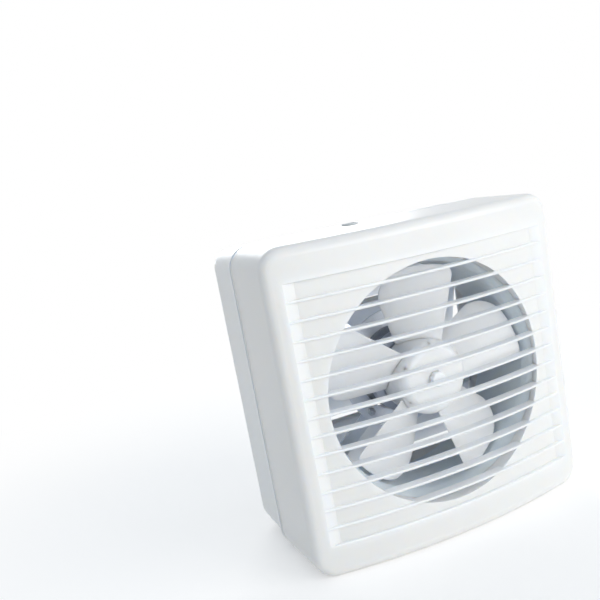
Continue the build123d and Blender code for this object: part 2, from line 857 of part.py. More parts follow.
def bearing(y_front):
    y_rear = y_front + bearing_width
    outer = slab(Circle(bearing_radius) - Circle(bearing_radius - 2.4), y_front, y_rear)
    inner = slab(Circle(shaft_radius + 2.4) - Circle(shaft_radius + running_gap), y_front, y_rear)
    shield = Circle(bearing_radius - 2.0) - Circle(shaft_radius + 2.0)
    return outer + inner + slab(shield, y_front + 0.5, y_rear - 0.5)


def bracket_arm():
    """One bent arm along +X, from the ring out to its foot on the duct's boss."""
    start = motor_radius + 6.0
    ring_edge = lug_radius + 8.0
    foot_edge = throat_radius - 2.0
    end = bracket_pitch_radius + 6.0
    profile = make_face(
        Polyline(
            (start, bracket_front_y),
            (ring_edge, bracket_front_y),
            (foot_edge, duct_rear_y),
            (end, duct_rear_y),
            (end, foot_rear_y),
            (foot_edge - 1.0, foot_rear_y),
            (ring_edge - 1.0, bracket_rear_y),
            (start, bracket_rear_y),
            close=True,
        )
    )
    arm = extrude(profile, amount=7.0, both=True)
    return fillet(arm.edges().filter_by(Axis.Y).group_by(Axis.X)[-1], 5.0)


def motor_bracket():
    """A pressed steel spider: a ring round the motor and four bent arms to the duct."""
    plate = slab(Circle(lug_radius + 8.0) - Circle(motor_radius + 2.0), bracket_front_y, bracket_rear_y)
    arm = bracket_arm()
    for angle in (45, 135, 225, 315):
        plate += Rot(0, -angle, 0) * arm
    for angle in (45, 135, 225, 315):
        outer = around(bracket_pitch_radius, angle)
        inner = around(lug_radius, angle)
        plate -= rod(bracket_screw_radius + fit_gap, *outer, duct_rear_y - 1, foot_rear_y + 1)
        plate -= rod(clamp_screw_radius + fit_gap, *inner, bracket_front_y - 1, bracket_rear_y + 1)
    return plate


def motor_grommets():
    mounts = Part()
    for angle in (45, 135, 225, 315):
        x, z = around(lug_radius, angle)
        mount = rod(6.0, x, z, bracket_rear_y, core_rear_y)
        groove = slab(Pos(x, z) * (Circle(8.0) - Circle(4.6)), bracket_rear_y + 1.6, core_rear_y - 1.4)
        hole = rod(clamp_screw_radius + fit_gap, x, z, bracket_rear_y - 1, core_rear_y + 1)
        mounts += mount - groove - hole
    return mounts


def pan_screw(x, z, y_seat, y_end, radius, head_radius, head_height):
    """A pan-head screw along Y: its head seats at y_seat and its point is at y_end."""
    side = 1 if y_end > y_seat else -1
    low, high = sorted((y_seat, y_end))
    shank = rod(radius, x, z, low, high)
    low, high = sorted((y_seat, y_seat - side * head_height))
    head = rod(head_radius, x, z, low, high)
    rim = head.edges().group_by(Axis.Y)[0 if side > 0 else -1]
    head = fillet(rim, head_height * 0.45)
    low, high = sorted((y_seat - side * head_height, y_seat - side * head_height * 0.45))
    cross = Rectangle(head_radius * 1.1, 0.9) + Rectangle(0.9, head_radius * 1.1)
    return shank + head - slab(Pos(x, z) * cross, low, high)


def motor_screws():
    """Screws through the rubber mounts, each with its nut in front of the bracket."""
    group = Part()
    for angle in (45, 135, 225, 315):
        x, z = around(lug_radius, angle)
        seat = core_rear_y + lug_thickness
        group += pan_screw(x, z, seat, bracket_front_y - 4.5, clamp_screw_radius, 4.0, 2.6)
        nut = Pos(x, z) * RegularPolygon(4.0, 6)
        group += slab(nut, bracket_front_y - 3.2, bracket_front_y)
    return group


def bracket_screws():
    group = Part()
    for angle in (45, 135, 225, 315):
        x, z = around(bracket_pitch_radius, angle)
        group += pan_screw(x, z, foot_rear_y, bracket_screw_end, bracket_screw_radius, 3.8, 2.4)
    return group


def clamp_screws():
    group = Part()
    for x, z in corners(clamp_offset, clamp_offset):
        group += pan_screw(x, z, flange_front_y, clamp_screw_end, clamp_screw_radius, 4.2, 2.8)
    return group


def cover_screws():
    """Countersunk screws that come up through the cover's lower side."""
    group = Part()
    y = flange_front_y - rim_height / 2
    for x in cover_screw_x():
        shank_z = -rim_half - 2.0 + cover_screw_length / 2
        shank = Pos(x, y, shank_z) * Cylinder(cover_screw_radius, cover_screw_length)
        head = Cone(cover_screw_head_radius, cover_screw_radius, cover_screw_head_height)
        head = Pos(x, y, -cover_half + 0.15 + cover_screw_head_height / 2) * head
        group += shank + head
    return group


# ---- electrics ----------------------------------------------------------------------------


def top_box(x, size):
    """Ranges of a box that stands on the inner frame's plate, above the duct."""
    length, depth, height = size
    z_range = (box_top_z - height, box_top_z)
    return (x - length / 2, x + length / 2), (flange_front_y - depth, flange_front_y), z_range


def terminal_box():
    xs, ys, zs = top_box(terminal_x, terminal_size)
    box = block(xs, ys, zs)
    box = fillet(box.edges().filter_by(Axis.Y), 2.0)
    box -= block(
        (xs[0] + box_wall, xs[1] - box_wall),
        (ys[0] - 1, ys[1] - box_wall),
        (zs[0] + box_wall, zs[1] - box_wall),
    )
    return box - Pos(grommet_x, grommet_y, zs[1]) * Cylinder(grommet_hole_radius + 0.5, 8.0)


def terminal_cover():
    xs, ys, zs = top_box(terminal_x, terminal_size)
    lid = block(xs, (ys[0] - lid_thickness, ys[0]), zs)
    lid = fillet(lid.edges().filter_by(Axis.Y), 2.0)
    edge = box_wall + fit_gap
    inside = edge + 1.2
    lip = block(
        (xs[0] + edge, xs[1] - edge),
        (ys[0] - 0.1, ys[0] + lid_thickness),
        (zs[0] + edge, zs[1] - edge),
    )
    lip -= block(
        (xs[0] + inside, xs[1] - inside),
        (ys[0] - 0.2, ys[0] + 2 * lid_thickness),
        (zs[0] + inside, zs[1] - inside),
    )
    lid += lip
    return lid - rod(1.5 + fit_gap, terminal_x, (zs[0] + zs[1]) / 2, ys[0] - 3, ys[0] + 1)


def terminal_places():
    """The two clamping screws' places along the terminal block."""
    xs = top_box(terminal_x, terminal_size)[0]
    first = xs[0] + block_end_gap + terminal_pitch / 2
    return [first, first + terminal_pitch]


def terminal_block():
    """A two-way screw terminal on the floor of the box, with a post for the lid's screw."""
    xs, ys, zs = top_box(terminal_x, terminal_size)
    z_middle = (zs[0] + zs[1]) / 2
    floor = ys[1] - box_wall
    start = xs[0] + block_end_gap
    end = start + block_width
    z_range = (z_middle - block_height / 2, z_middle + block_height / 2)
    base = block((start, end), (floor - block_depth, floor), z_range)
    for x in terminal_places():
        base -= rod(2.0, x, z_middle, floor - block_depth - 1, floor - block_depth + 6)
    post = rod(3.2, terminal_x, z_middle, ys[0] + 0.5, floor)
    link = block((end - 1.0, terminal_x), (floor - 2.0, floor), (z_middle - 2.0, z_middle + 2.0))
    return base + post + link - rod(1.55, terminal_x, z_middle, ys[0], ys[0] + 12)


def terminal_screws():
    """The lid's screw and the two brass clamping screws."""
    xs, ys, zs = top_box(terminal_x, terminal_size)
    z_middle = (zs[0] + zs[1]) / 2
    seat = ys[0] - lid_thickness
    group = pan_screw(terminal_x, z_middle, seat, seat + 13.0, 1.5, 3.0, 1.8)
    top = ys[1] - box_wall - block_depth
    for x in terminal_places():
        group += rod(1.9, x, z_middle, top + 1.5, top + 5.9)
    return group


def cord_clamp():
    """A saddle under the inlet that grips the cord's sheath."""
    xs, ys, zs = top_box(terminal_x, terminal_size)
    floor = ys[1] - box_wall
    z = zs[1] - 8.0
    saddle = block((grommet_x - 6.5, xs[1] - 2.0), (floor - 8.0, floor), (z - 3.0, z + 3.0))
    saddle -= Pos(grommet_x, grommet_y, z) * Cylinder(grommet_hole_radius, 10.0)
    return saddle


def cable_grommet():
    """A rubber bush in the cover's notch, grooved to hold the wall."""
    low = cover_half - wall - 2.2
    high = cover_half + 1.6
    post = Pos(grommet_x, grommet_y, (low + high) / 2) * Cylinder(grommet_radius + grommet_lip, high - low)
    foot = block(
        (grommet_x - grommet_radius - grommet_lip, grommet_x + grommet_radius + grommet_lip),
        (grommet_y, flange_front_y - 0.1),
        (low, high),
    )
    bush = post + foot
    bush = fillet(bush.edges().group_by(Axis.Z)[-1], 1.2)
    groove = block(
        (grommet_x - 30, grommet_x + 30), (grommet_y - 30, 30), (cover_half - wall - 0.1, cover_half + 0.1)
    )
    inner = Pos(grommet_x, grommet_y, cover_half) * Cylinder(grommet_radius, 10.0)
    inner += block(
        (grommet_x - grommet_radius, grommet_x + grommet_radius),
        (grommet_y, flange_front_y - 0.1),
        (low, high),
    )
    bush -= groove - inner
    return bush - Pos(grommet_x, grommet_y, cover_half) * Cylinder(grommet_hole_radius, 20.0)


def capacitor():
    xs, ys, zs = top_box(capacitor_x, capacitor_size)
    margin = strap_thickness + fit_gap
    body = block((xs[0] + margin, xs[1] - margin), (ys[0] + margin, ys[1]), zs)
    return fillet(body.edges().filter_by(Axis.Y), 2.5)


def capacitor_strap():
    """A steel strap over the capacitor, with a foot at each end."""
    xs, ys, zs = top_box(capacitor_x, capacitor_size)
    z_middle = (zs[0] + zs[1]) / 2
    z_range = (z_middle - strap_width / 2, z_middle + strap_width / 2)
    sheet = strap_thickness
    outer = block((xs[0], xs[1]), (ys[0], ys[1]), z_range)
    inner = block((xs[0] + sheet, xs[1] - sheet), (ys[0] + sheet, ys[1]), z_range)
    feet = block((xs[0] - strap_foot, xs[0] + sheet), (ys[1] - sheet, ys[1]), z_range)
    feet += block((xs[1] - sheet, xs[1] + strap_foot), (ys[1] - sheet, ys[1]), z_range)
    return (outer - inner) + feet


# ---- write the pieces ---------------------------------------------------------------------

os.makedirs("parts", exist_ok=True)

pieces = {
    "front_cover": front_cover,
    "inner_frame": inner_frame,
    "inner_pane_seal": lambda: pane_seal(-seal_thickness, 0.0),
    "outer_pane_seal": lambda: pane_seal(0.0, seal_thickness),
    "outer_housing": outer_housing,
    "link_bar": link_bar,
    "motor_bracket": motor_bracket,
    "motor_grommets": motor_grommets,
    "motor_front_bell": motor_front_bell,
    "motor_rear_bell": motor_rear_bell,
    "stator_core": stator_core,
    "stator_coils": stator_coils,
    "rotor": rotor,
    "motor_shaft": motor_shaft,
    "front_bearing": lambda: bearing(core_front_y - bearing_seat - bearing_width),
    "rear_bearing": lambda: bearing(core_rear_y + bearing_seat),
    "impeller": impeller,
    "hub_nut": hub_nut,
    "hub_pin": hub_pin,
    "capacitor": capacitor,
    "capacitor_strap": capacitor_strap,
    "terminal_box": terminal_box,
    "terminal_cover": terminal_cover,
    "terminal_block": terminal_block,
    "terminal_screws": terminal_screws,
    "cord_clamp": cord_clamp,
    "cable_grommet": cable_grommet,
    "motor_screws": motor_screws,
    "bracket_screws": bracket_screws,
    "clamp_screws": clamp_screws,
    "cover_screws": cover_screws,
}
for name, make in pieces.items():
    write(name, make())
for index in range(louvre_count):
    write(f"louvre_{index + 1}", louvre(index))
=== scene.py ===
# %% [markdown]
# # A window exhaust fan, dressed in Blender
# The fan has two moulded halves that clamp a window pane between them. A slotted cover faces the
# room, a shutter of four louvres faces outdoors, and a small motor drives a five-bladed impeller
# in the duct between them. The solid model already holds every piece at its real size. This
# script gives those pieces their finish and remakes the ones whose form a solid modeller only
# hints at: the twisted blades, the windings, the steel sheets of the stator and the screws.

import math
import random

import bmesh
import bpy
from mathutils import Matrix, Vector


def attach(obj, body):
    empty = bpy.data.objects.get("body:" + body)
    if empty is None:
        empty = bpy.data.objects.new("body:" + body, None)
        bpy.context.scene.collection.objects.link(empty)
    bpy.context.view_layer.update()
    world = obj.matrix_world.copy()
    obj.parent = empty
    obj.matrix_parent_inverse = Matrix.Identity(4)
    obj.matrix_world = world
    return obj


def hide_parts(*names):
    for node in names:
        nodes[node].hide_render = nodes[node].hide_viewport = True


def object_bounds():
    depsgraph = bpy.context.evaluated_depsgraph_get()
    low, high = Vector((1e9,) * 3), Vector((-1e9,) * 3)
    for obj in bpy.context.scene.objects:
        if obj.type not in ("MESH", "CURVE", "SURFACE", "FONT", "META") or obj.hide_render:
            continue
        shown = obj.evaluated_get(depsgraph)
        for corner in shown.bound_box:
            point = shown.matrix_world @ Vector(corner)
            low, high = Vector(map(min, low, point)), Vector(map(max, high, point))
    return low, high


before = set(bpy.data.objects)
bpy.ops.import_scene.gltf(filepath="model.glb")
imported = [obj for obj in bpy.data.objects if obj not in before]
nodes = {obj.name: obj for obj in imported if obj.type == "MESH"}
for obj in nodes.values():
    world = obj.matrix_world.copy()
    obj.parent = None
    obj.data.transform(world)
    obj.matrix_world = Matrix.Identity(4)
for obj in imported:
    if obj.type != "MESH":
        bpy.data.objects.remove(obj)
cad_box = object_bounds()
MM = 0.001  # a millimetre in metres, which are Blender's unit
print("pieces in the solid model:", len(nodes))
print("size in metres:", [round(high - low, 4) for low, high in zip(*cad_box)])

# %% [markdown]
# ## The camera
# A product is easiest to judge from a little above and to one side, where the front and one
# flank both show. The camera's place is written as a viewing direction, a roll and a distance
# from a point on the cover's face, because those are the numbers that one changes in a studio. A
# Track To constraint would aim it as well, but would keep it level, and this view leans.

# %% Camera
IMAGE_SIDE = 600  # pixels
FOCAL_LENGTH = 748.5  # pixels
PRINCIPAL_POINT = (330, 320)  # where the optical axis meets the picture, from its top left
SENSOR_WIDTH = 36.0  # millimetres
VIEW_AZIMUTH = math.radians(-23.26)
VIEW_ELEVATION = math.radians(10.76)
VIEW_ROLL = math.radians(-10.06)
FACE_POINT = Vector((0.0, -0.08679, 0.0))  # in metres, like the three values below
FACE_RIGHT = 0.10103  # how far right of the optical axis the face point lies
FACE_UP = -0.05473  # and how far above it, here below
FACE_DISTANCE = 0.68969  # and how far along it from the lens


def camera_axes(azimuth, elevation, roll):
    """Right, up and backward directions of a camera that looks at the object."""
    back = Vector((
        math.sin(azimuth) * math.cos(elevation),
        -math.cos(azimuth) * math.cos(elevation),
        math.sin(elevation),
    ))
    level_right = Vector((math.cos(azimuth), math.sin(azimuth), 0.0))
    level_up = back.cross(level_right)
    right = math.cos(roll) * level_right + math.sin(roll) * level_up
    up = math.cos(roll) * level_up - math.sin(roll) * level_right
    return right, up, back


def add_camera():
    """The camera at its place, as the one that the scene renders from."""
    right, up, back = camera_axes(VIEW_AZIMUTH, VIEW_ELEVATION, VIEW_ROLL)
    data = bpy.data.cameras.new("product_camera")
    data.sensor_width = SENSOR_WIDTH
    data.lens = FOCAL_LENGTH / IMAGE_SIDE * SENSOR_WIDTH
    data.shift_x = 0.5 - PRINCIPAL_POINT[0] / IMAGE_SIDE
    data.shift_y = PRINCIPAL_POINT[1] / IMAGE_SIDE - 0.5
    data.clip_start = 0.01
    camera = bpy.data.objects.new("product_camera", data)
    bpy.context.scene.collection.objects.link(camera)
    place = FACE_POINT - FACE_RIGHT * right - FACE_UP * up + FACE_DISTANCE * back
    turn = Matrix((right, up, back)).transposed().to_4x4()
    camera.matrix_world = Matrix.Translation(place) @ turn
    bpy.context.scene.camera = camera
    return camera


camera = add_camera()
print("lens", round(camera.data.lens, 1), "mm, at", [round(c, 3) for c in camera.location])

# %% [markdown]
# ## The studio
# White plastic has no colour of its own to show, so its form is read from soft steps of light. The
# backdrop has to look white, yet surroundings as bright as that would flood the fan and flatten it.
# So the rays are told apart: those that reach the camera straight, by mirror or through glass see
# white paper, and all others see dimmer surroundings. The Light Path node knows which ray is which.

# %% Materials, sums and the camera's rays
WHITE = (1.0, 1.0, 1.0, 1.0)


def new_material(name):
    """An empty material and its nodes, with the output node in place."""
    material = bpy.data.materials.new(name)
    material.use_nodes = True
    tree = material.node_tree
    tree.nodes.clear()
    tree.nodes.new("ShaderNodeOutputMaterial").name = "output"
    return material, tree


def add_math(tree, operation, first, second):
    """A Math node. Each input is a number or another node's output."""
    node = tree.nodes.new("ShaderNodeMath")
    node.operation = operation
    for socket, value in zip(node.inputs, (first, second)):
        if isinstance(value, bpy.types.NodeSocket):
            tree.links.new(value, socket)
        else:
            socket.default_value = value
    return node.outputs[0]


def seen_by_camera(tree):
    """A value of 1 for rays that reach the camera straight, by mirror or through glass."""
    path = tree.nodes.new("ShaderNodeLightPath")
    straight_or_mirror = add_math(
        tree, "MAXIMUM", path.outputs["Is Camera Ray"], path.outputs["Is Glossy Ray"]
    )
    return add_math(tree, "MAXIMUM", straight_or_mirror, path.outputs["Is Transmission Ray"])


# %% [markdown]
# ## The floor
# The fan stands on a sheet of pale paper that catches its shadow. In a real studio the sheet sweeps
# up behind the product. Here a flat sheet does, because its material fades: where the camera sees
# it, it adds a little light of its own, and farther out it turns wholly white, so that no horizon
# shows while the shadow close to the fan stays. The paper is slightly warm, which evens out the
# coolness of the surroundings.

# %% Floor
FLOOR_SIZE = 30.0
FLOOR_COLOUR = (0.93, 0.9, 0.87, 1.0)
FLOOR_GLOW = 0.27  # added to the floor where the camera sees it
FLOOR_FADE = (0.3, 0.9)  # metres from the fan between which the floor turns white


def floor_material():
    """Pale paper that fades to white away from the fan."""
    material, tree = new_material("studio_floor")
    seen = seen_by_camera(tree)
    paper = tree.nodes.new("ShaderNodeBsdfDiffuse")
    paper.inputs["Color"].default_value = FLOOR_COLOUR
    glow = tree.nodes.new("ShaderNodeEmission")
    glow.inputs["Color"].default_value = WHITE
    tree.links.new(add_math(tree, "MULTIPLY", seen, FLOOR_GLOW), glow.inputs["Strength"])
    near = tree.nodes.new("ShaderNodeAddShader")
    tree.links.new(paper.outputs[0], near.inputs[0])
    tree.links.new(glow.outputs[0], near.inputs[1])
    far = tree.nodes.new("ShaderNodeEmission")
    far.inputs["Color"].default_value = WHITE
    place = tree.nodes.new("ShaderNodeTexCoord")
    distance = tree.nodes.new("ShaderNodeVectorMath")
    distance.operation = "LENGTH"
    tree.links.new(place.outputs["Object"], distance.inputs[0])
    fade = tree.nodes.new("ShaderNodeMapRange")
    fade.interpolation_type = "SMOOTHSTEP"
    fade.inputs["From Min"].default_value = FLOOR_FADE[0]
    fade.inputs["From Max"].default_value = FLOOR_FADE[1]
    tree.links.new(distance.outputs["Value"], fade.inputs["Value"])
    mix = tree.nodes.new("ShaderNodeMixShader")
    tree.links.new(add_math(tree, "MULTIPLY", seen, fade.outputs["Result"]), mix.inputs["Fac"])
    tree.links.new(near.outputs[0], mix.inputs[1])
    tree.links.new(far.outputs[0], mix.inputs[2])
    tree.links.new(mix.outputs[0], tree.nodes["output"].inputs["Surface"])
    return material


def add_floor(height):
    """A flat square sheet under the fan, which is stage and no piece of it."""
    mesh = bpy.data.meshes.new("studio_floor")
    half = FLOOR_SIZE / 2
    corners = [(x * half, y * half, height) for x, y in ((-1, -1), (1, -1), (1, 1), (-1, 1))]
    mesh.from_pydata(corners, [], [(0, 1, 2, 3)])
    floor = bpy.data.objects.new("studio_floor", mesh)
    bpy.context.scene.collection.objects.link(floor)
    mesh.materials.append(floor_material())


add_floor(cad_box[0].z)
print("the floor lies at height", round(cad_box[0].z, 3))

# %% [markdown]
# ## Surroundings and soft boxes
# Three large soft boxes light the fan. The front one stands well to the right, so that the face is
# bright and the left flank a shade greyer. The fill box stands almost on the fan's axis, because
# light from there passes straight between the ribs and reaches the blades. The rear one lights the
# shutter. The surroundings are a dim, cool white, like daylight in the shade.

# %% Surroundings and soft boxes
AMBIENT_COLOUR = (0.82, 0.91, 1.0, 1.0)
AMBIENT_LEVEL = 0.57
LAMP_TARGET = Vector((0.0, -0.02, 0.0))
SOFT_BOX_SIZE = 1.6
SOFT_BOXES = {  # place in metres, power in watts and colour
    "front_soft_box": ((1.5, -1.95, 0.8), 21.5, (1.0, 0.995, 0.99)),
    "fill_soft_box": ((0.3, -2.6, 0.15), 24.0, (0.96, 0.98, 1.0)),
    "rear_soft_box": ((0.5, 2.3, 0.75), 26.0, (0.98, 0.99, 1.0)),
}


def add_surroundings():
    """A world that is dim for the fan and white paper for the camera."""
    world = bpy.data.worlds.new("surroundings")
    bpy.context.scene.world = world
    world.use_nodes = True
    tree = world.node_tree
    tree.nodes.clear()
    output = tree.nodes.new("ShaderNodeOutputWorld")
    ambient = tree.nodes.new("ShaderNodeBackground")
    ambient.inputs["Color"].default_value = AMBIENT_COLOUR
    ambient.inputs["Strength"].default_value = AMBIENT_LEVEL
    paper = tree.nodes.new("ShaderNodeBackground")
    paper.inputs["Color"].default_value = WHITE
    mix = tree.nodes.new("ShaderNodeMixShader")
    tree.links.new(seen_by_camera(tree), mix.inputs["Fac"])
    tree.links.new(ambient.outputs[0], mix.inputs[1])
    tree.links.new(paper.outputs[0], mix.inputs[2])
    tree.links.new(mix.outputs[0], output.inputs["Surface"])


def add_soft_box(name, place, power, colour):
    """A square area lamp that faces the object."""
    data = bpy.data.lights.new(name, "AREA")
    data.shape = "SQUARE"
    data.size = SOFT_BOX_SIZE
    data.energy = power
    data.color = colour
    lamp = bpy.data.objects.new(name, data)
    bpy.context.scene.collection.objects.link(lamp)
    lamp.location = place
    lamp.rotation_mode = "QUATERNION"
    lamp.rotation_quaternion = (LAMP_TARGET - Vector(place)).to_track_quat("-Z", "Y")


add_surroundings()
for name, (place, power, colour) in SOFT_BOXES.items():
    add_soft_box(name, place, power, colour)
    print(name, "gives", power, "W from", place)
bpy.context.scene.view_settings.view_transform = "Standard"

# %% [markdown]
# ## Moulded plastic
# Nearly all that shows of this fan is injection-moulded plastic. Up close such a face is never
# one flat colour: the pigment drifts a little, the tool leaves a fine grain, and walls sink
# slightly behind ribs. Each of those is one small group of nodes on Object coordinates, which lie
# on the piece in metres and so keep their real scale. The amounts are small on purpose, because a
# new moulding looks clean, and a bump that is too deep reads as dirt.

# %% Nodes that every finish shares
NOISE_MIDDLE = 0.5  # most of a noise texture's values lie near this
NOISE_REACH = 0.3  # and within this distance of it


def add_noise(tree, scale, detail, distortion=0.0):
    """Noise laid over the piece in its own metres. Scale is in cells per metre."""
    place = tree.nodes.get("place") or tree.nodes.new("ShaderNodeTexCoord")
    place.name = "place"
    noise = tree.nodes.new("ShaderNodeTexNoise")
    noise.inputs["Scale"].default_value = scale
    noise.inputs["Detail"].default_value = detail
    noise.inputs["Distortion"].default_value = distortion
    tree.links.new(place.outputs["Object"], noise.inputs["Vector"])
    return noise.outputs["Fac"]


def add_range(tree, value, low, high):
    """Spreads the busy middle of a noise over a range."""
    spread = tree.nodes.new("ShaderNodeMapRange")
    spread.inputs["From Min"].default_value = NOISE_MIDDLE - NOISE_REACH
    spread.inputs["From Max"].default_value = NOISE_MIDDLE + NOISE_REACH
    spread.inputs["To Min"].default_value = low
    spread.inputs["To Max"].default_value = high
    tree.links.new(value, spread.inputs["Value"])
    return spread.outputs["Result"]


def add_colour_mix(tree, amount, first, second):
    """A colour between two, each of which is a constant or another node's output."""
    mix = tree.nodes.new("ShaderNodeMix")
    mix.data_type = "RGBA"
    tree.links.new(amount, mix.inputs["Factor"])
    for socket, colour in ((mix.inputs["A"], first), (mix.inputs["B"], second)):
        if isinstance(colour, bpy.types.NodeSocket):
            tree.links.new(colour, socket)
        else:
            socket.default_value = (*colour, 1.0)
    return mix.outputs["Result"]


def add_bumps(tree, normal, bumps):
    """Stacks bumps on a normal. Each is a noise scale, its detail and a depth in metres."""
    for scale, detail, depth in bumps:
        bump = tree.nodes.new("ShaderNodeBump")
        bump.inputs["Strength"].default_value = 1.0
        bump.inputs["Distance"].default_value = depth
        tree.links.new(add_noise(tree, scale, detail), bump.inputs["Height"])
        if normal is not None:
            tree.links.new(normal, bump.inputs["Normal"])
        normal = bump.outputs["Normal"]
    return normal


# %% [markdown]
# ## Light inside the plastic
# A pale plastic isn't opaque. Light enters it, wanders a few millimetres and comes out again, which
# softens every shadow between the ribs. A brighter paint would only wash the face out, so this is
# left to Subsurface Scattering, which carries blue light a little farther here. The other numbers
# are small: a slow drift of the tone, patches that are a little glossier, waves and grain.

# %% A moulded finish
DRIFT_SCALE = 7.0  # cells per metre of the slow drift in the pigment
SMUDGE_SCALE = 35.0  # of the patches where the gloss differs
SINK_SCALE = 18.0  # of the slow waves in a moulded wall
SINK_DEPTH = 2e-5  # metres
GRAIN_SCALE = 2600.0  # of the grain that the tool leaves
GRAIN_DEPTH = 5e-7
SLOW_DETAIL, GRAIN_DETAIL = 1.0, 2.0  # finer layers in the noise
PLASTIC_IOR = 1.53
GLOW_DEPTH = 0.006  # metres that light wanders inside a pale moulding
GLOW_COLOUR = (0.7, 0.8, 1.0)  # share of that depth for red, green and blue light
FRAME_EDGE_REACH = 0.1465  # metres from the axis past which the frame's outer edge shows


def outer_edge(tree, reach):
    """A value of 1 where a piece lies farther than a reach from the fan's axis, sideways or up."""
    axes = tree.nodes.new("ShaderNodeSeparateXYZ")
    tree.links.new(tree.nodes["place"].outputs["Object"], axes.inputs[0])
    sideways = add_math(tree, "ABSOLUTE", axes.outputs["X"], 0.0)
    up = add_math(tree, "ABSOLUTE", axes.outputs["Z"], 0.0)
    return add_math(tree, "GREATER_THAN", add_math(tree, "MAXIMUM", sideways, up), reach)


def moulded_plastic(name, colour, deep_colour, gloss, glow, edge_colour=None):
    """A moulded finish, which may have another colour along the piece's outer edge."""
    material, tree = new_material(name)
    surface = tree.nodes.new("ShaderNodeBsdfPrincipled")
    drift = add_range(tree, add_noise(tree, DRIFT_SCALE, SLOW_DETAIL), 0.0, 1.0)
    tone = add_colour_mix(tree, drift, colour, deep_colour)
    # on the frame the main tone is painted shade, and this edge colour is its own pale colour
    if edge_colour:
        tone = add_colour_mix(tree, outer_edge(tree, FRAME_EDGE_REACH), tone, edge_colour)
    tree.links.new(tone, surface.inputs["Base Color"])
    smudge = add_range(tree, add_noise(tree, SMUDGE_SCALE, SLOW_DETAIL), *gloss)
    tree.links.new(smudge, surface.inputs["Roughness"])
    waves_and_grain = [(SINK_SCALE, SLOW_DETAIL, SINK_DEPTH), (GRAIN_SCALE, GRAIN_DETAIL, GRAIN_DEPTH)]
    tree.links.new(add_bumps(tree, None, waves_and_grain), surface.inputs["Normal"])
    surface.inputs["IOR"].default_value = PLASTIC_IOR
    surface.inputs["Subsurface Weight"].default_value = glow
    surface.inputs["Subsurface Radius"].default_value = GLOW_COLOUR
    surface.inputs["Subsurface Scale"].default_value = GLOW_DEPTH
    tree.links.new(surface.outputs[0], tree.nodes["output"].inputs["Surface"])
    return material


print("light wanders", GLOW_DEPTH / MM, "mm inside a pale moulding")

# %% [markdown]
# ## The fan's mouldings
# Each moulding has its own tone, because each comes from its own mould and batch. The cover is the
# whitest, the louvres are a little bluer and the terminal box is greyer. The frame is white as well,
# but in its duct, which shows only in the shade, it gets a bluish tone that is painted shade; along
# its outer edge, which shows as a thin line between the two halves, it keeps its own pale colour.
# Only numbers differ, so the mouldings are a table.

# %% The moulded plastics
PALE_GLOW = 0.8  # share of the light that goes inside a pale moulding
FRAME_OWN_COLOUR = (0.9, 0.91, 0.905)
PLASTICS = {  # two tones of the pigment, the lowest and highest roughness, the light inside
    "cover_plastic": ((0.92, 0.93, 0.935), (0.914, 0.925, 0.932), (0.285, 0.31), PALE_GLOW),
    # the frame's bluish tone is painted shade for its duct; its outer edge keeps its own pale colour
    "frame_plastic": ((0.77, 0.86, 0.99), (0.765, 0.855, 0.987), (0.36, 0.4), PALE_GLOW),
    "housing_plastic": ((0.88, 0.9, 0.92), (0.874, 0.895, 0.917), (0.29, 0.32), PALE_GLOW),
    "louvre_plastic": ((0.9, 0.915, 0.935), (0.894, 0.91, 0.932), (0.28, 0.31), PALE_GLOW),
    "impeller_plastic": ((0.92, 0.935, 0.96), (0.915, 0.931, 0.958), (0.29, 0.32), PALE_GLOW),
    "terminal_plastic": ((0.76, 0.77, 0.75), (0.73, 0.74, 0.72), (0.4, 0.5), PALE_GLOW),
    "capacitor_case": ((0.02, 0.02, 0.023), (0.028, 0.028, 0.032), (0.35, 0.45), 0.0),
}

finishes = {}
for name, numbers in PLASTICS.items():
    edge_colour = FRAME_OWN_COLOUR if name == "frame_plastic" else None
    finishes[name] = moulded_plastic(name, *numbers, edge_colour)
print("moulded finishes:", sorted(finishes))

# %% [markdown]
# ## Foam rubber
# The seals on the pane and the bushes of the motor and the cable are rubber, which is dull and full
# of fine cells. The cells are far too small to model, so the same noise gives them their colour and
# their depth. A little sheen stands for the soft light that such a surface throws back at its rim.

# %% Foam rubber
FOAM_CELLS = 1400.0  # per metre
FOAM_DETAIL = 3.0
FOAM_DEPTH = 1.2e-4
FOAM_ROUGHNESS = (0.75, 0.92)
FOAM_SHEEN = 0.15


def foam_rubber(name, colour, deep_colour):
    """Dull rubber full of fine cells."""
    material, tree = new_material(name)
    surface = tree.nodes.new("ShaderNodeBsdfPrincipled")
    cells = add_range(tree, add_noise(tree, FOAM_CELLS, FOAM_DETAIL), 0.0, 1.0)
    tree.links.new(add_colour_mix(tree, cells, colour, deep_colour), surface.inputs["Base Color"])
    dull = add_range(tree, add_noise(tree, SMUDGE_SCALE, FOAM_DETAIL), *FOAM_ROUGHNESS)
    tree.links.new(dull, surface.inputs["Roughness"])
    normal = add_bumps(tree, None, [(FOAM_CELLS, FOAM_DETAIL, FOAM_DEPTH)])
    tree.links.new(normal, surface.inputs["Normal"])
    surface.inputs["Sheen Weight"].default_value = FOAM_SHEEN
    tree.links.new(surface.outputs[0], tree.nodes["output"].inputs["Surface"])
    return material


finishes["seal_rubber"] = foam_rubber("seal_rubber", (0.72, 0.74, 0.74), (0.62, 0.64, 0.64))
print("a cell of the foam measures", round(1 / (FOAM_CELLS * MM), 2), "mm")

# %% [markdown]
# ## Metal and enamel
# The motor's end bells are die cast and painted, so they carry a coarse orange-peel bump. Zinc
# plate shows soft clouds, and sheared steel edges are bright where the coating broke. The windings
# are copper under clear enamel, which a coat layer over a metal gives directly. On these small
# pieces a Bevel node is worth its time: it rounds an edge in the shading alone, and where its
# normal leaves the true one it also tells where the edges are, which is the mask that the bright
# metal needs.

